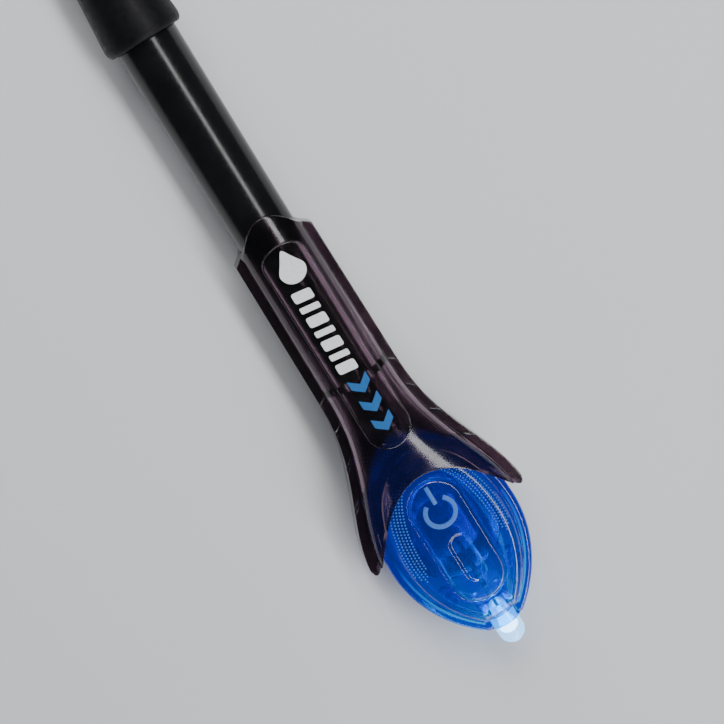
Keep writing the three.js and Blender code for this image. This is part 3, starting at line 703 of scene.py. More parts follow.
def make_cap():
    """The cap: a rolled lip, a long taper and a slightly sunk end."""
    taper = math.tan(math.radians(5.3))
    roll, wall, end_wall, corner = 1.5, 1.1, 1.5, 1.3
    lip = SOCKET_RADIUS + 0.55

    def outer(x):
        return CAP_RADIUS - (CAP_LIP - roll - x) * taper

    def inner(x):
        return min(SOCKET_RADIUS, outer(x) - wall)

    floor, step = CAP_END + end_wall, SHOULDER - SEAT_GAP
    profile = [(CAP_LIP, SOCKET_RADIUS), (CAP_LIP, lip)]
    rolled = rounding(1, 8)[1:]
    profile += [(CAP_LIP - roll * back, CAP_RADIUS - (CAP_RADIUS - lip) * below) for back, below in rolled]
    profile += arc(CAP_END + corner, outer(CAP_END + corner) - corner, corner, 90, 180)
    # The end is a shallow dish with a low gate mark in its middle.
    dish, dish_slope, dish_floor = outer(CAP_END) - 2.2, 0.4, CAP_END + 0.25
    gate, gate_slope, gate_top = 0.45, 0.15, CAP_END + 0.1
    profile += [(CAP_END, dish), (dish_floor, dish - dish_slope), (dish_floor, gate + gate_slope)]
    profile += [(gate_top, gate), (gate_top, 0)]
    profile += [(floor, 0), (floor, inner(floor)), (step, inner(step))]
    made = to_object("cap_with_lip", turned(profile))
    finished(made, "black_polypropylene", "cap", "cap_plastic", ["cap_shell"])

    bore, bore_depth, bore_tip = 0.6, 2.8, 0.4
    face = outer(SEAL_BACK) - wall - SEAT_GAP
    plug = [(SEAL_BACK, 0), (SEAL_BACK, face), (SEAL_FACE, face), (SEAL_FACE, bore)]
    plug += [(SEAL_FACE - bore_depth, bore), (SEAL_FACE - bore_depth - bore_tip, 0)]
    seal = to_object("needle_seal", turned(plug, 48, 0.15))
    finished(seal, "silicone_rubber", "cap", "seal_silicone", ["cap_seal"])


# ---- Holder ------------------------------------------------------------------------------------

FLANGE = 2.3                 # half thickness of the flat flange beside the body
BODY_TOP = PLATEAU_TOP - 0.8
NECK_HALF_WIDTH = 7.33
NECK_DRIFT = 0.015           # how much that grows in a millimetre of the neck
NECK_FLANGE, WING_FLANGE = 1.4, 1.9
BAY_CROWN = 20.9             # the wings' front edge in the middle
TIP_X, TIP_Y = WING_TIP - 2, WING_HALF_WIDTH - 2.5
BULKHEAD = 1.4
PARTING = SEAT_GAP / 2
TORCH_GAP = 0.3              # round the torch in its bay


def mix(a, b, share):
    return a + (b - a) * share


def flare(x):
    """0 along the neck, 1 at the wings."""
    t = min(1.0, max(0.0, x / WING_TIP))
    return (t * t * (3 - 2 * t)) ** 1.5


def half_width(x):
    return mix(NECK_HALF_WIDTH + NECK_DRIFT * (x - MOUTH_SHOULDER), WING_HALF_WIDTH, flare(x))


def body_half(x):
    return half_width(x) - mix(NECK_FLANGE, WING_FLANGE, flare(x))


def skin(x, y, inset):
    """Height of the shell above the axis: a rounded body between two flat flanges."""
    power = 2 + 0.5 * flare(x)
    across = min(1.0, abs(y) / (body_half(x) - inset))
    return FLANGE - inset + (BODY_TOP - FLANGE) * (1 - across**power) ** (1 / power)


def mouth_x(y):
    """The mouth's edge: an arch over the barrel between two slanted shoulders."""
    y = abs(y)
    arch, crown = MOUTH_SHOULDER - 1.65, MOUTH_SHOULDER - 5.6
    if y < BARREL_RADIUS:
        return crown + (arch - crown) * (y / BARREL_RADIUS) ** 2
    run = min(1.0, (y - BARREL_RADIUS) / (NECK_HALF_WIDTH - BARREL_RADIUS))
    return mix(arch, MOUTH_SHOULDER, run)


def bezier(a, b, c, d, t):
    s = 1 - t
    return a * s**3 + 3 * b * s * s * t + 3 * c * s * t * t + d * t**3


def bay_x(y):
    """The wings' front edge: a parabola between two rounded tips."""
    y = abs(y)
    if y <= TIP_Y:
        return BAY_CROWN + (TIP_X - BAY_CROWN) * (y / TIP_Y) ** 2
    low, high, halvings = 0.0, 1.0, 30
    bend, side = 0.75, 3
    for _ in range(halvings):
        t = (low + high) / 2
        reach = bezier(TIP_Y, WING_HALF_WIDTH - bend, WING_HALF_WIDTH, WING_HALF_WIDTH, t)
        low, high = (t, high) if reach < y else (low, t)
    return bezier(TIP_X, WING_TIP + bend, WING_TIP, WING_TIP - side, low)


FLANGE_ROWS, BODY_ROWS = 6, 36


def row_y(row, x, inset):
    """Place across of a row of the skin: the flange, over the body, and the other flange."""
    side = 1 if row > FLANGE_ROWS + BODY_ROWS / 2 else -1
    body, edge = body_half(x) - inset, half_width(x) - inset
    if row < FLANGE_ROWS:
        return -mix(edge, body, row / FLANGE_ROWS)
    if row > FLANGE_ROWS + BODY_ROWS:
        return side * mix(body, edge, (row - FLANGE_ROWS - BODY_ROWS) / FLANGE_ROWS)
    return body * math.sin(math.pi * ((row - FLANGE_ROWS) / BODY_ROWS - 0.5))


def half_form(columns, start_x, end_x, floor, inset):
    """A closed solid from the skin, moved inwards by inset, down to the height floor."""
    rows = 2 * FLANGE_ROWS + BODY_ROWS

    def place(u, v):
        row = round(v * rows)
        x = mix(start_x(0), end_x(0), u)
        for _ in range(60):  # the row's width depends on x, and x on the edges at that width
            y = row_y(row, x, inset)
            x = mix(x, mix(start_x(y), end_x(y), u), 0.5)
        y = row_y(row, x, inset)
        return x, y, skin(x, y, inset)

    bm = sheet(columns, rows, place)
    rim = [e for e in bm.edges if e.is_boundary]
    wall = bmesh.ops.extrude_edge_only(bm, edges=rim)["geom"]
    for vert in wall:
        if isinstance(vert, bmesh.types.BMVert):
            vert.co.z = floor
    closed(bm)
    return bm, [e for e in rim if e.is_valid]


PLATEAU_REAR, PLATEAU_FRONT, PLATEAU_RADIUS = -26.2, 13.9, 4.07


def plateau():
    """The raised racetrack, its mouth end flatter than a half circle, with a rounded top edge."""
    flat, steps, straight = 0.7, 24, 30
    foot = FLANGE + 0.7  # inside the body
    front = PLATEAU_FRONT - PLATEAU_RADIUS
    rear = PLATEAU_REAR + PLATEAU_RADIUS * flat
    edge = mm(settings().holder.plateau_edge)
    turns = [i / steps * math.pi / 2 for i in range(steps + 1)]
    rings = []
    for inset, height in [(0, foot)] + [(back, PLATEAU_TOP - down) for back, down in rounding(edge, 4)]:
        radius = PLATEAU_RADIUS - inset
        half = [(front + radius * math.cos(turn), radius * math.sin(turn)) for turn in turns]
        half += [(mix(front, rear, i / straight), radius) for i in range(1, straight)]
        half += [(rear - radius * flat * math.sin(turn), radius * math.cos(turn)) for turn in turns]
        rings.append((half + [(x, -y) for x, y in reversed(half[1:-1])], height))
    return closed(loft(rings))


def grip_grooves():
    """Four slanted finger grooves on each flange, as rounded rods that carve it."""
    reach, radius, end, lean = 1.5, 0.42, 0.3, 0.65
    back, inset, rise = 0.6, 0.7, 0.12
    grooves = []
    for x in (2.4, 8.1, 14.4, 21.7):
        for side in (-1, 1):
            tool = rod(-reach, reach, radius, 16, end)
            turn = Matrix.Rotation(side * (math.pi / 2 - lean), 4, "Z")
            place = Matrix.Translation((x - back, side * (half_width(x) - inset), FLANGE + rise))
            bmesh.ops.transform(tool, matrix=place @ turn, verts=tool.verts)
            grooves.append(tool)
    return grooves


def torch_room(inset, low, high):
    """Solid that clears the torch's outline, moved inwards by inset, between two heights."""
    middle = racetrack(-1, 1, 0)
    return loft([(middle, low), (egg(inset), low), (egg(inset), high), (middle, high)])


def make_holder():
    """Both shells of the smoked holder."""
    holder = settings().holder
    outer, rim = half_form(110, mouth_x, bay_x, PARTING, 0)
    rounded_edges(outer, rim, mm(holder.edge), 3)
    front = to_object("holder_label_half", outer)
    cut(front, "UNION", plateau())
    room, _ = half_form(60, lambda y: BULKHEAD, lambda y: WING_TIP + 6, -1, mm(holder.wall))
    ledge_room = torch_room(-TORCH_GAP, -1.0, LEDGE + TORCH_GAP)
    dome_room = torch_room(DOME_INSET - TORCH_GAP, -0.9, DOME_TOP + TORCH_GAP)
    bore = rod(MOUTH_SHOULDER - 12, 0, SOCKET_RADIUS, 96)
    bulkhead_hole = rod(-1, BULKHEAD + 1, 3, 48)
    cut(front, "DIFFERENCE", room, ledge_room, dome_room, bore, bulkhead_hole, *grip_grooves())
    cleaned(front)

    bm = bmesh.new()
    bm.from_mesh(front.data)
    bmesh.ops.transform(bm, matrix=Matrix.Diagonal((1, 1, -1, 1)), verts=bm.verts)
    bmesh.ops.reverse_faces(bm, faces=bm.faces)
    back = weighted(to_object("holder_rest_half", bm))
    finished(front, "smoked_polystyrene", "holder", "smoked_plastic", ["holder_front_shell"])
    finished(back, "smoked_polystyrene", "holder", "smoked_plastic", ["holder_back_shell"])


# ---- Print -------------------------------------------------------------------------------------

INK_SINK, INK_DEPTH = 0.02, 0.05


def printed(shapes, name, material):
    """Thin flat shapes of ink on the racetrack, each a list of [x, y] corners with rounding."""
    bm = bmesh.new()
    for corners, corner_radius in shapes:
        verts = [bm.verts.new((x, y, PLATEAU_TOP - INK_SINK)) for x, y in corners]
        bm.faces.new(verts)
        if corner_radius:
            bmesh.ops.bevel(
                bm, geom=verts, offset=corner_radius, offset_type="OFFSET", segments=4, profile=0.5,
                affect="VERTICES", clamp_overlap=True, material=-1,
            )
    bmesh.ops.recalc_face_normals(bm, faces=bm.faces)
    raised = bmesh.ops.extrude_face_region(bm, geom=bm.faces[:])["geom"]
    tops = [v for v in raised if isinstance(v, bmesh.types.BMVert)]
    bmesh.ops.translate(bm, verts=tops, vec=(0, 0, INK_DEPTH))
    bmesh.ops.recalc_face_normals(bm, faces=bm.faces)
    finished(to_object(name, bm), material, "holder")


def drop(x, y):
    """A drop about (x, y) whose point looks back towards the cap."""
    reach, half = 2.15, 2.35
    point, narrowing, steps = 0.75, 0.45, 32
    corners = []
    for i in range(steps):
        turn = i / steps * 2 * math.pi
        back = max(0.0, -math.cos(turn))
        along = reach * math.cos(turn) * (1 + point * back**3)
        across = half * math.sin(turn) * (1 - narrowing * back**2)
        corners.append((x + along, y + across))
    return corners, 0


def bar(x, width):
    """A slanted bar across the racetrack."""
    low, high, lean = -2.3, 1.1, 0.5
    return [(x, low), (x + width, low), (x + width + lean, high), (x + lean, high)], width * 0.22


def chevron(x):
    """A chevron that points at the LED."""
    low, high, width, reach = -2.0, 1.6, 1.7, 1.5
    middle = (low + high) / 2
    corners = [(x, low), (x + width, low), (x + width + reach, middle), (x + width, high)]
    return corners + [(x, high), (x + reach, middle)], 0.14


def make_print():
    """A drop and a row of bars in white, then three chevrons in azure."""
    white = [drop(-21.4, 0.15)]
    start, gap, wide, narrow = -18.2, 0.85, 1.9, 1.1
    for width in (wide, narrow, wide, narrow, wide, narrow, wide):
        white.append(bar(start, width))
        start += width + gap
    printed(white, "racetrack_print_white", "white_ink")
    printed([chevron(x) for x in (-0.6, 3.3, 7.2)], "racetrack_print_azure", "azure_ink")


# ---- Torch -------------------------------------------------------------------------------------

LEDGE = 2.8                  # height of the flat round the dome
DOME_INSET = 2.4
BUTTON_REAR, BUTTON_FRONT, BUTTON_RADIUS = -7.6, 7.4, 5.0
LED_RADIUS = 2.5
COLLAR_RADIUS, COLLAR_LENGTH = 3.9, 6.0
BOSS_RADIUS = 1.9
SPINE = (-8.0, 9.0)          # the outline's middle line, where a closed face comes together
SCREW_DECK = 1.05 - TORCH_DEPTH
SUPPORT = 0.08               # a narrow row of faces that keeps the flat beside a rounded edge flat
PAST = 2.0                   # how far a cutting tool goes on past the face that it opens
FAR = 10                     # beyond the torch's top and bottom


def corner_rings(z, inset, radius, steps=6, up=1):
    """Egg rings over a rounded edge that ends flat at height z."""
    return [(egg(inset + back), z - up * down) for back, down in rounding(radius, steps)]


def post(radius, low, high, x, y):
    made = rod(low, high, radius, 32)
    bmesh.ops.transform(made, matrix=standing(x, y, 0), verts=made.verts)
    return made


def screw_places():
    """One screw behind the cells and two ahead, on a ring outside the cells' cradle."""
    ring = CELL_RADIUS + 3.8
    angles = (math.pi, math.pi / 6, -math.pi / 6)
    return [(CELL_X + ring * math.cos(angle), ring * math.sin(angle)) for angle in angles]


def screw_posts(radius, low, high):
    return [post(radius, low, high, x, y) for x, y in screw_places()]


def led_collar():
    """The collar round the LED in the nose, short of its face so that the faces stay apart."""
    return rod(NOSE - COLLAR_LENGTH, NOSE - TOUCH, COLLAR_RADIUS, 64, 0.25)


def led_ways():
    """The wide way for the LED's flange, and the bore for its barrel."""
    flange_way, flange_seat, overlap = 3.0, NOSE - 2.0, 1.1
    wide = rod(NOSE - COLLAR_LENGTH - 4, flange_seat, flange_way, 48)
    return wide, rod(flange_seat - overlap, NOSE + PAST, LED_RADIUS + SEAT_GAP, 48)


def nose_half(low, high):
    """A block round the collar, which trims it at the parting line."""
    length_back, half = 7.5, 6
    return box((NOSE - length_back, -half, low), (NOSE + PAST, half, high))


def make_cover():
    """The torch's upper shell: ledge, raised dome, opening for the button and LED collar."""
    torch = settings().torch
    wall, ledge_edge, dome_edge = mm(torch.wall), mm(torch.ledge_edge), mm(torch.dome_edge)
    rim = 0.22

    def opening(grow):
        return racetrack(BUTTON_REAR, BUTTON_FRONT, BUTTON_RADIUS + SLIDE_GAP + grow)

    # Up the outside: the side, the ledge, a small fillet at its root, and the dome.
    foot, fillet = DOME_INSET - 0.3, 0.08
    rings = [(egg(0), PARTING)] + corner_rings(LEDGE, 0, ledge_edge)
    rings += [(egg(ledge_edge + SUPPORT), LEDGE), (egg(foot - SUPPORT), LEDGE)]
    rings += [(egg(foot), LEDGE), (egg(DOME_INSET - fillet), LEDGE + fillet)]
    rings += corner_rings(DOME_TOP, DOME_INSET, dome_edge, 8)
    rings += [(egg(DOME_INSET + dome_edge + SUPPORT), DOME_TOP)]
    # In through the button's opening, and down the inside.
    rings += [(opening(rim + SUPPORT), DOME_TOP)]
    rings += [(opening(down), DOME_TOP - back) for back, down in rounding(rim, 5)]
    inside, ceiling, shelf = DOME_INSET + wall, DOME_TOP - wall, LEDGE - 1
    corner, corner_middle, chamfer = 1.2, 0.4, 0.5
    rings += [(opening(0), ceiling), (egg(inside + corner), ceiling)]
    rings += [(egg(inside + corner_middle), ceiling - corner_middle), (egg(inside), ceiling - corner)]
    rings += [(egg(inside), shelf), (egg(wall + chamfer), shelf)]
    rings += [(egg(wall), shelf - chamfer), (egg(wall), PARTING), (egg(0), PARTING)]
    cover = to_object("torch_cover", loft(rings))
    boss_foot, boss_root = -1.85, LEDGE - 0.5
    cut(cover, "UNION", led_collar(), *screw_posts(BOSS_RADIUS, boss_foot, boss_root))
    pilot_radius, pilot_start, pilot_end = 0.85, -5, SCREW_DECK + 4.5
    pilots = screw_posts(pilot_radius, pilot_start, pilot_end)
    cut(cover, "DIFFERENCE", nose_half(-FAR, PARTING), *led_ways(), *pilots)
    cleaned(cover)
    finished(cover, "blue_polycarbonate", "torch", "torch_plastic", ["torch_cover_shell"])


def make_base():
    """The torch's lower shell: a rounded tub with screw wells."""
    wall, edge = mm(settings().torch.wall), mm(settings().torch.dome_edge)
    spine = racetrack(*SPINE, 0)
    under, floor = -TORCH_DEPTH, wall - TORCH_DEPTH
    outside = [(egg(0), -PARTING)] + corner_rings(under, 0, edge, 8, up=-1)
    outside += [(egg(edge + SUPPORT), under), (spine, under)]
    inside = [(egg(wall), -PARTING), (egg(wall), floor + 0.8), (egg(wall + 0.35), floor + 0.2)]
    inside += [(egg(wall + 1.0), floor), (spine, floor)]
    base = to_object("torch_base", loft(outside[::-1] + inside))
    boss_root, boss_top = floor - 0.3, SCREW_DECK + 1.2
    cut(base, "UNION", led_collar(), *screw_posts(BOSS_RADIUS, boss_root, boss_top))
    well_radius, hole_radius, start = 1.65, 0.9, under - 1
    wells = screw_posts(well_radius, start, SCREW_DECK)
    holes = screw_posts(hole_radius, start, 0)
    cut(base, "DIFFERENCE", nose_half(-PARTING, FAR), *led_ways(), *wells, *holes)
    cleaned(base)
    finished(base, "blue_polycarbonate", "torch", "torch_plastic", ["torch_base_shell"])


POWER_X = TORCH_X - 6.6      # middle of the power sign's ring
POWER_RADIUS, POWER_WIDTH = 2.7, 0.85


def power_sign():
    """An open ring and a bar that stand on the button."""
    low, high = BUTTON_TOP - 0.12, BUTTON_TOP + 0.3
    middle, half_height = (low + high) / 2, (high - low) / 2
    opening = math.radians(38)
    squareness = 1.35  # above 1, the ring's round section has flat sides
    stem_length, stem_middle, stem_edge = 3.6, POWER_X - 3.5, 0.14

    def place(u, v):
        angle = (math.pi - opening) * (1 - 2 * u)
        turn = v * 2 * math.pi
        across = max(-1.0, min(1.0, squareness * math.cos(turn)))
        rise = max(-1.0, min(1.0, squareness * math.sin(turn)))
        radius = POWER_RADIUS + across * POWER_WIDTH / 2
        return POWER_X + radius * math.cos(angle), radius * math.sin(angle), middle + rise * half_height

    sign = sheet(40, 16, place)
    bmesh.ops.remove_doubles(sign, verts=sign.verts, dist=TOUCH / 10)
    closed(sign)
    stem = bmesh.ops.create_cube(sign, size=1)["verts"]
    size = Matrix.Diagonal((stem_length, POWER_WIDTH, high - low, 1))
    bmesh.ops.transform(sign, matrix=Matrix.Translation((stem_middle, 0, middle)) @ size, verts=stem)
    edges = {edge for vert in stem for edge in vert.link_edges}
    rounded_edges(sign, list(edges), stem_edge, 3)
    bmesh.ops.recalc_face_normals(sign, faces=sign.faces)
    made = to_object("power_sign", sign)
    return finished(made, "frosted_polycarbonate", "button", "torch_plastic")


def make_button():
    """The long press pad with its flange, oval dimple and power sign."""
    flange, flange_depth, edge = 1.1, 0.7, 0.6
    dent, slope, depth, steps = 2.2, 0.75, 0.22, 8
    nub_radius, nub_x, nub_root = 1.0, TORCH_X + 0.9, 0.1
    top, ceiling = BUTTON_TOP, DOME_TOP - mm(settings().torch.wall) - SEAT_GAP
    low = ceiling - flange_depth

    def track(grow):
        return racetrack(BUTTON_REAR, BUTTON_FRONT, BUTTON_RADIUS + grow)

    def dimple(radius):
        return racetrack(0.6, 6.6, radius)

    rings = [(racetrack(*SPINE, 0), low), (track(flange), low), (track(flange), ceiling)]
    rings += [(track(0), ceiling)] + [(track(-back), top - down) for back, down in rounding(edge, 6)]
    rings += [(track(-edge - SUPPORT), top), (dimple(dent + SUPPORT), top)]
    for i in range(steps + 1):
        share = i / steps
        fall = depth / 2 * (1 - math.cos(math.pi * share))
        rings.append((dimple(dent - slope * share), top - fall))
    rings += [(dimple(dent - slope - SUPPORT), top - depth), (dimple(0), top - depth)]
    pad = to_object("press_pad", loft(rings))
    nub = post(nub_radius, pen_span("press_button", Z)[0], low + nub_root, nub_x, 0)
    cleaned(cut(pad, "UNION", nub))
    finished(pad, "blue_polycarbonate", "button", "torch_plastic", ["press_button"])
    power_sign()


def along(outline, pitch):
    """Points at equal steps round an outline."""
    points = []
    run = 0.0
    for (x0, y0), (x1, y1) in zip(outline, outline[1:] + outline[:1]):
        step = math.hypot(x1 - x0, y1 - y0)
        while run < step:
            points.append((mix(x0, x1, run / step), mix(y0, y1, run / step)))
            run += pitch
        run -= step
    return points


def dome_height(over):
    """Height of the dome's skin at over millimetres in from its foot."""
    edge = mm(settings().torch.dome_edge)
    return DOME_TOP - edge + math.sqrt(edge**2 - max(0.0, edge - over) ** 2)


def make_dots():
    """Grip dots in a crescent on each flank of the dome."""
    pitch = mm(settings().torch.dot_pitch)
    rows, first_row, radius, flatness = 5, 0.75, 0.21, 0.75
    rear, front, retreat, clearance = TORCH_X - 14.5, TORCH_X + 3.5, 0.9, 0.7
    bm = bmesh.new()
    for row in range(rows):
        over = first_row + row * pitch
        last = front - retreat * abs(row - rows // 2)
        for x, y in along(egg(DOME_INSET + over), pitch):
            from_button = math.hypot(max(0.0, TORCH_X + BUTTON_REAR - x), y) - BUTTON_RADIUS
            if rear < x < last and from_button >= clearance:
                dot = bmesh.ops.create_icosphere(bm, subdivisions=1, radius=radius)
                place = Matrix.Translation((x, y, dome_height(over)))
                flat = Matrix.Diagonal((1, 1, flatness, 1))
                bmesh.ops.transform(bm, matrix=place @ flat, verts=dot["verts"])
    made = to_object("torch_grip_dots", bm, 80)
    finished(made, "frosted_polycarbonate", "torch", "torch_plastic")


# ---- Inside the torch --------------------------------------------------------------------------


def make_led():
    """The 5 mm LED: flange, barrel and domed tip, with its bright chip inside."""
    flange, flange_front, edge = 2.9, LED_BACK + 1, 0.08
    dome = LED_TIP - LED_RADIUS
    profile = [(LED_BACK, 0), (LED_BACK, flange), (flange_front, flange), (flange_front, LED_RADIUS)]
    profile += arc(dome, 0, LED_RADIUS, 90, 0, 14)[:-1] + [(LED_TIP, 0)]
    epoxy = to_object("uv_led", turned(profile, 64, edge))
    finished(epoxy, "lit_epoxy", "torch", "led_epoxy", ["led_lens"])
    cup, cup_depth, taper = 1.1, 3, 0.6
    face = dome - cup
    back = face - cup_depth
    profile = [(back, 0), (back, cup * taper), (face, cup)] + arc(face, 0, cup, 90, 0, 8)[1:-1]
    chip = to_object("led_chip_cup", turned(profile + [(face + cup, 0)], 32, edge))
    finished(chip, "glowing_die", "torch", "led_epoxy")


CELL_HEIGHT = 1.6
CELL_SHEET = 0.25                    # thickness of the can and the lid
LID_RADIUS = CELL_RADIUS - 1.1
LIP_RADIUS = LID_RADIUS + 0.35       # the can's crimped lip, outside the gasket
GASKET_GAP = 0.05


def can_profile():
    """[height, radius] points of a can: its face with a shallow ring, its side, lip and inside."""
    ring, ring_end, ring_slope, ring_depth = 5.6, 6.25, 0.15, 0.06
    face, inside, bore = CELL_HEIGHT, CELL_HEIGHT - CELL_SHEET, CELL_RADIUS - CELL_SHEET
    crimp, lip = 0.4, 0.12
    points = [(face, 0), (face, ring), (face - ring_depth, ring + ring_slope)]
    points += [(face - ring_depth, ring_end - ring_slope), (face, ring_end)]
    points += [(face, CELL_RADIUS - 0.4), (face - 0.1, CELL_RADIUS - 0.12), (face - 0.35, CELL_RADIUS)]
    points += [(crimp, CELL_RADIUS), (crimp / 2, CELL_RADIUS - 0.15), (lip, LIP_RADIUS)]
    return points + [(crimp, LIP_RADIUS), (crimp, bore), (inside, bore), (inside, 0)]


def lid_profile():
    """The same of a lid: a cup with a rounded rim."""
    top, bore = CELL_HEIGHT - 0.45, LID_RADIUS - CELL_SHEET
    points = [(0, 0), (0, LID_RADIUS - 0.3), (0.08, LID_RADIUS - 0.08), (0.3, LID_RADIUS)]
    return points + [(top, LID_RADIUS), (top, bore), (CELL_SHEET, bore), (CELL_SHEET, 0)]


def gasket_profile():
    """The same of a gasket: a plain band between the lid and the lip."""
    low, high = 0.15, CELL_HEIGHT - 0.3
    inner, outer = LID_RADIUS + GASKET_GAP, LIP_RADIUS - GASKET_GAP
    return [(low, inner), (low, outer), (high, outer), (high, inner)]


def make_cells():
    """Two coin cells: crimped can, lid and gasket."""
    parts = (
        ("can", can_profile(), "nickel_plate", "nickel"),
        ("lid", lid_profile(), "nickel_plate", "nickel"),
        ("gasket", gasket_profile(), "grey_nylon", "gasket_nylon"),
    )
    for level in ("upper", "lower"):
        bottom = pen_span(f"{level}_cell_lid", Z)[0]
        for part, profile, finish, slot in parts:
            made = to_object(f"{level}_coin_cell_{part}", turned(profile, 96, 0), 40)
            made.data.transform(standing(CELL_X, 0, bottom))
            finished(made, finish, "torch", slot, [f"{level}_cell_{part}"])


def screw_profile(head):
    """[height, radius] points of a pan head, its threaded shank and its point."""
    radius, shank, flat = 1.5, 0.8, 0.8
    thread_start, thread_end, thread_depth, pitch = 0.3, 3.2, 0.18, 0.45
    point, point_end, point_radius = 4.0, 4.2, 0.25
    points = [(-head, 0), (-head, flat), (-head * 0.92, 1.15), (-head * 0.7, radius - 0.08)]
    points += [(-head * 0.45, radius), (0, radius), (0, shank)]
    low = thread_start
    while low < thread_end:
        root, crest = shank - thread_depth, shank - 0.02
        points += [(low, root), (low + 0.2, crest), (low + 0.4, root)]
        low += pitch
    return points + [(point, point_radius), (point_end, 0)]


def make_screws():
    """Three cross-recessed screws that close the torch from below."""
    head, arm, half_slot, depth = 0.9, 0.9, 0.2, 0.5
    for index, (x, y) in enumerate(screw_places(), 1):
        made = to_object(f"closing_screw_{index}", turned(screw_profile(head), 40, 0))
        slots = [
            box((-head - 1, -reach, -rise), (depth - head, reach, rise))
            for reach, rise in ((arm, half_slot), (half_slot, arm))
        ]
        cleaned(cut(made, "DIFFERENCE", *slots))
        made.data.transform(standing(x, y, SCREW_DECK))
        finished(made, "stainless_steel", "torch", "screw_steel", [f"torch_screw_{index}"])


def make_inside():
    """Finishes for the CAD pieces whose shape is already right."""
    for name, finish, slot in (
        ("cell_cradle", "white_abs", "cradle_plastic"),
        ("led_anode_lead", "nickel_plate", "nickel"),
        ("led_cathode_lead", "nickel_plate", "nickel"),
    ):
        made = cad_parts[name]
        made.material_slots[0].material = bpy.data.materials[finish]


# ---- Stage -------------------------------------------------------------------------------------

STRIP, FILL = (1.2, 0.06), (0.9, 0.9)  # width and depth of the lamps, in metres
CAMERA_PLACE = (-47.46, -9.36, 232.4)  # above the pen, in millimetres of the row frame
CAMERA_RIGHT = (0.5043, 0.8426, 0.1889)
CAMERA_BACK = (-0.276, -0.05, 0.9599)


def lamp(name, place, target, power, size):
    """A soft rectangular lamp at place that looks at target, its width along X, in metres."""
    data = bpy.data.lights.new(name, "AREA")
    data.shape, data.energy = "RECTANGLE", power
    data.size, data.size_y = size
    made = bpy.data.objects.new(name, data)
    bpy.context.scene.collection.objects.link(made)
    back = (Vector(place) - Vector(target)).normalized()
    along = (Vector((1, 0, 0)) - back * back.x).normalized()
    turn = Matrix((along, back.cross(along), back)).transposed().to_4x4()
    made.matrix_world = Matrix.Translation(place) @ turn


def make_stage():
    """Camera, floor and soft lights."""
    data = bpy.data.cameras.new("camera")
    data.sensor_fit, data.sensor_width, data.lens = "HORIZONTAL", 36.0, 67.87
    data.clip_start, data.clip_end = 0.01, 10
    camera = bpy.data.objects.new("camera", data)
    bpy.context.scene.collection.objects.link(camera)
    right = Vector(CAMERA_RIGHT).normalized()
    back = Vector(CAMERA_BACK)
    back = (back - right * back.dot(right)).normalized()
    turn = Matrix((right, back.cross(right), back)).transposed().to_4x4()
    camera.matrix_world = Matrix.Translation(Vector(CAMERA_PLACE) * MM) @ turn
    bpy.context.scene.camera = camera

    card = bmesh.new()
    bmesh.ops.create_grid(card, x_segments=1, y_segments=1, size=1.5)
    floor = to_object("floor", card)
    pale_card()
    floor.data.materials.append(bpy.data.materials["pale_card"])

    world = bpy.data.worlds.new("studio")
    world.use_nodes = True
    sky = world.node_tree.nodes["Background"]
    sky.inputs["Color"].default_value = linear("cdd6e4")
    sky.inputs["Strength"].default_value = 0.1
    bpy.context.scene.world = world

    # The strip draws the one long highlight. The other two stand beyond the ends, out of sight in
    # the sides of the barrel.
    lamp("strip", (0.07, 0.125, 0.335), (0.07, 0, 0.008), 1.9, STRIP)
    lamp("rear", (-1.0, 0.1, 0.62), (0, 0, 0), 10.0, FILL)
    lamp("front", (1.15, 0.1, 0.55), (0, 0, 0), 8.0, FILL)


# ---- Operators ---------------------------------------------------------------------------------


class CURING_LAMP_OT_stage(Operator):
    """Adds the camera, the floor and the soft lights"""

    bl_idname = "curing_lamp.stage"
    bl_label = "Stage"

    def execute(self, context):
        make_stage()
        return {"FINISHED"}


class CURING_LAMP_OT_finishes(Operator):
    """Makes every finish of the lamp"""

    bl_idname = "curing_lamp.finishes"
    bl_label = "Finishes"

    def execute(self, context):
        make_materials()
        return {"FINISHED"}


class CURING_LAMP_OT_barrel(Operator):
    """Models the barrel of resin"""

    bl_idname = "curing_lamp.barrel"
    bl_label = "Barrel"

    def execute(self, context):
        make_barrel()
        return {"FINISHED"}


class CURING_LAMP_OT_nozzle(Operator):
    """Models the nozzle hub and its steel needle"""

    bl_idname = "curing_lamp.nozzle"
    bl_label = "Nozzle"

    def execute(self, context):
        make_nozzle()
        return {"FINISHED"}


class CURING_LAMP_OT_cap(Operator):
    """Models the cap and the soft seal in it"""

    bl_idname = "curing_lamp.cap"
    bl_label = "Cap"

    def execute(self, context):
        make_cap()
        return {"FINISHED"}


class CURING_LAMP_OT_holder(Operator):
    """Models both shells of the smoked holder"""

    bl_idname = "curing_lamp.holder"
    bl_label = "Holder"

    def execute(self, context):
        make_holder()
        return {"FINISHED"}


class CURING_LAMP_OT_print(Operator):
    """Adds the print on the racetrack"""

    bl_idname = "curing_lamp.print"
    bl_label = "Print"

    def execute(self, context):
        make_print()
        return {"FINISHED"}


class CURING_LAMP_OT_torch_cover(Operator):
    """Models the torch's upper shell"""

    bl_idname = "curing_lamp.torch_cover"
    bl_label = "Torch cover"

    def execute(self, context):
        make_cover()
        return {"FINISHED"}


class CURING_LAMP_OT_torch_base(Operator):
    """Models the torch's lower shell"""

    bl_idname = "curing_lamp.torch_base"
    bl_label = "Torch base"

    def execute(self, context):
        make_base()
        return {"FINISHED"}


class CURING_LAMP_OT_button(Operator):
    """Models the press pad and its power sign"""

    bl_idname = "curing_lamp.button"
    bl_label = "Button"

    def execute(self, context):
        make_button()
        return {"FINISHED"}


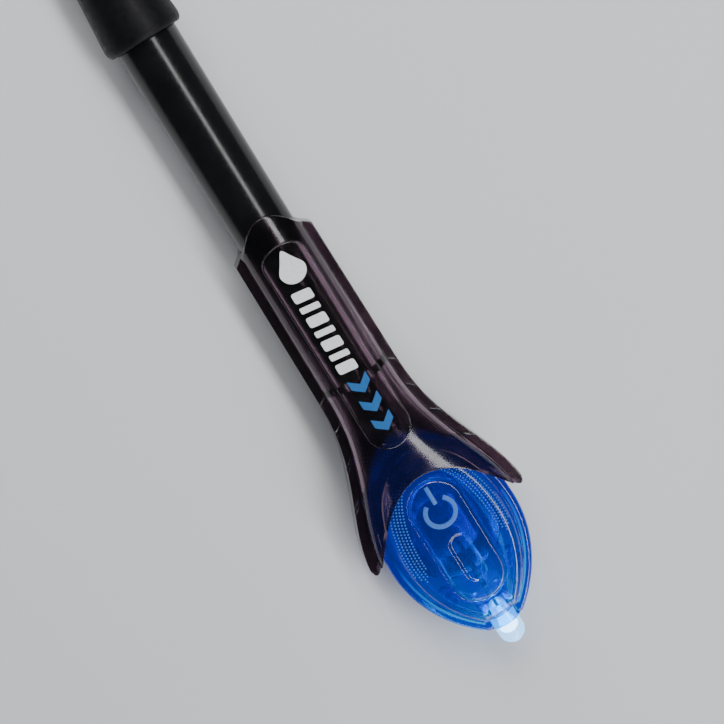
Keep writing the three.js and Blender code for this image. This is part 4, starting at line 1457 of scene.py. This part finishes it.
class CURING_LAMP_OT_dots(Operator):
    """Adds the grip dots beside the button"""

    bl_idname = "curing_lamp.dots"
    bl_label = "Grip dots"

    def execute(self, context):
        make_dots()
        return {"FINISHED"}


class CURING_LAMP_OT_led(Operator):
    """Models the UV LED"""

    bl_idname = "curing_lamp.led"
    bl_label = "LED"

    def execute(self, context):
        make_led()
        return {"FINISHED"}


class CURING_LAMP_OT_cells(Operator):
    """Models both coin cells"""

    bl_idname = "curing_lamp.cells"
    bl_label = "Coin cells"

    def execute(self, context):
        make_cells()
        return {"FINISHED"}


class CURING_LAMP_OT_screws(Operator):
    """Models the screws that close the torch"""

    bl_idname = "curing_lamp.screws"
    bl_label = "Screws"

    def execute(self, context):
        make_screws()
        return {"FINISHED"}


class CURING_LAMP_OT_inside(Operator):
    """Finishes the cradle and the LED's two leads"""

    bl_idname = "curing_lamp.inside"
    bl_label = "Cradle and leads"

    def execute(self, context):
        make_inside()
        return {"FINISHED"}


OPERATORS = (
    CURING_LAMP_OT_stage,
    CURING_LAMP_OT_finishes,
    CURING_LAMP_OT_barrel,
    CURING_LAMP_OT_nozzle,
    CURING_LAMP_OT_cap,
    CURING_LAMP_OT_holder,
    CURING_LAMP_OT_print,
    CURING_LAMP_OT_torch_cover,
    CURING_LAMP_OT_torch_base,
    CURING_LAMP_OT_button,
    CURING_LAMP_OT_dots,
    CURING_LAMP_OT_led,
    CURING_LAMP_OT_cells,
    CURING_LAMP_OT_screws,
    CURING_LAMP_OT_inside,
)


class CURING_LAMP_PT_panel(Panel):
    """Lists the steps that build the lamp, and its settings"""

    bl_label = "UV curing lamp"
    bl_space_type = "VIEW_3D"
    bl_region_type = "UI"
    bl_category = "Curing lamp"

    def draw(self, context):
        for made in OPERATORS:
            self.layout.operator(made.bl_idname)
        for group in ("barrel", "holder", "torch", "finish"):
            values = getattr(context.scene.curing_lamp, group)
            column = self.layout.box().column()
            for name in values.bl_rna.properties.keys():
                if name not in ("rna_type", "name"):
                    column.prop(values, name)


CLASSES = (
    LampBarrelSettings, LampHolderSettings, LampTorchSettings, LampFinishSettings, LampSettings,
    *OPERATORS, CURING_LAMP_PT_panel,
)


def register():
    for made in CLASSES:
        bpy.utils.register_class(made)
    bpy.types.Scene.curing_lamp = PointerProperty(type=LampSettings)


def unregister():
    del bpy.types.Scene.curing_lamp
    for made in reversed(CLASSES):
        bpy.utils.unregister_class(made)


def main():
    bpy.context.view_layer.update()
    register()
    for made in OPERATORS:
        getattr(bpy.ops.curing_lamp, made.bl_idname.split(".")[1])()


if __name__ == "__main__":
    main()
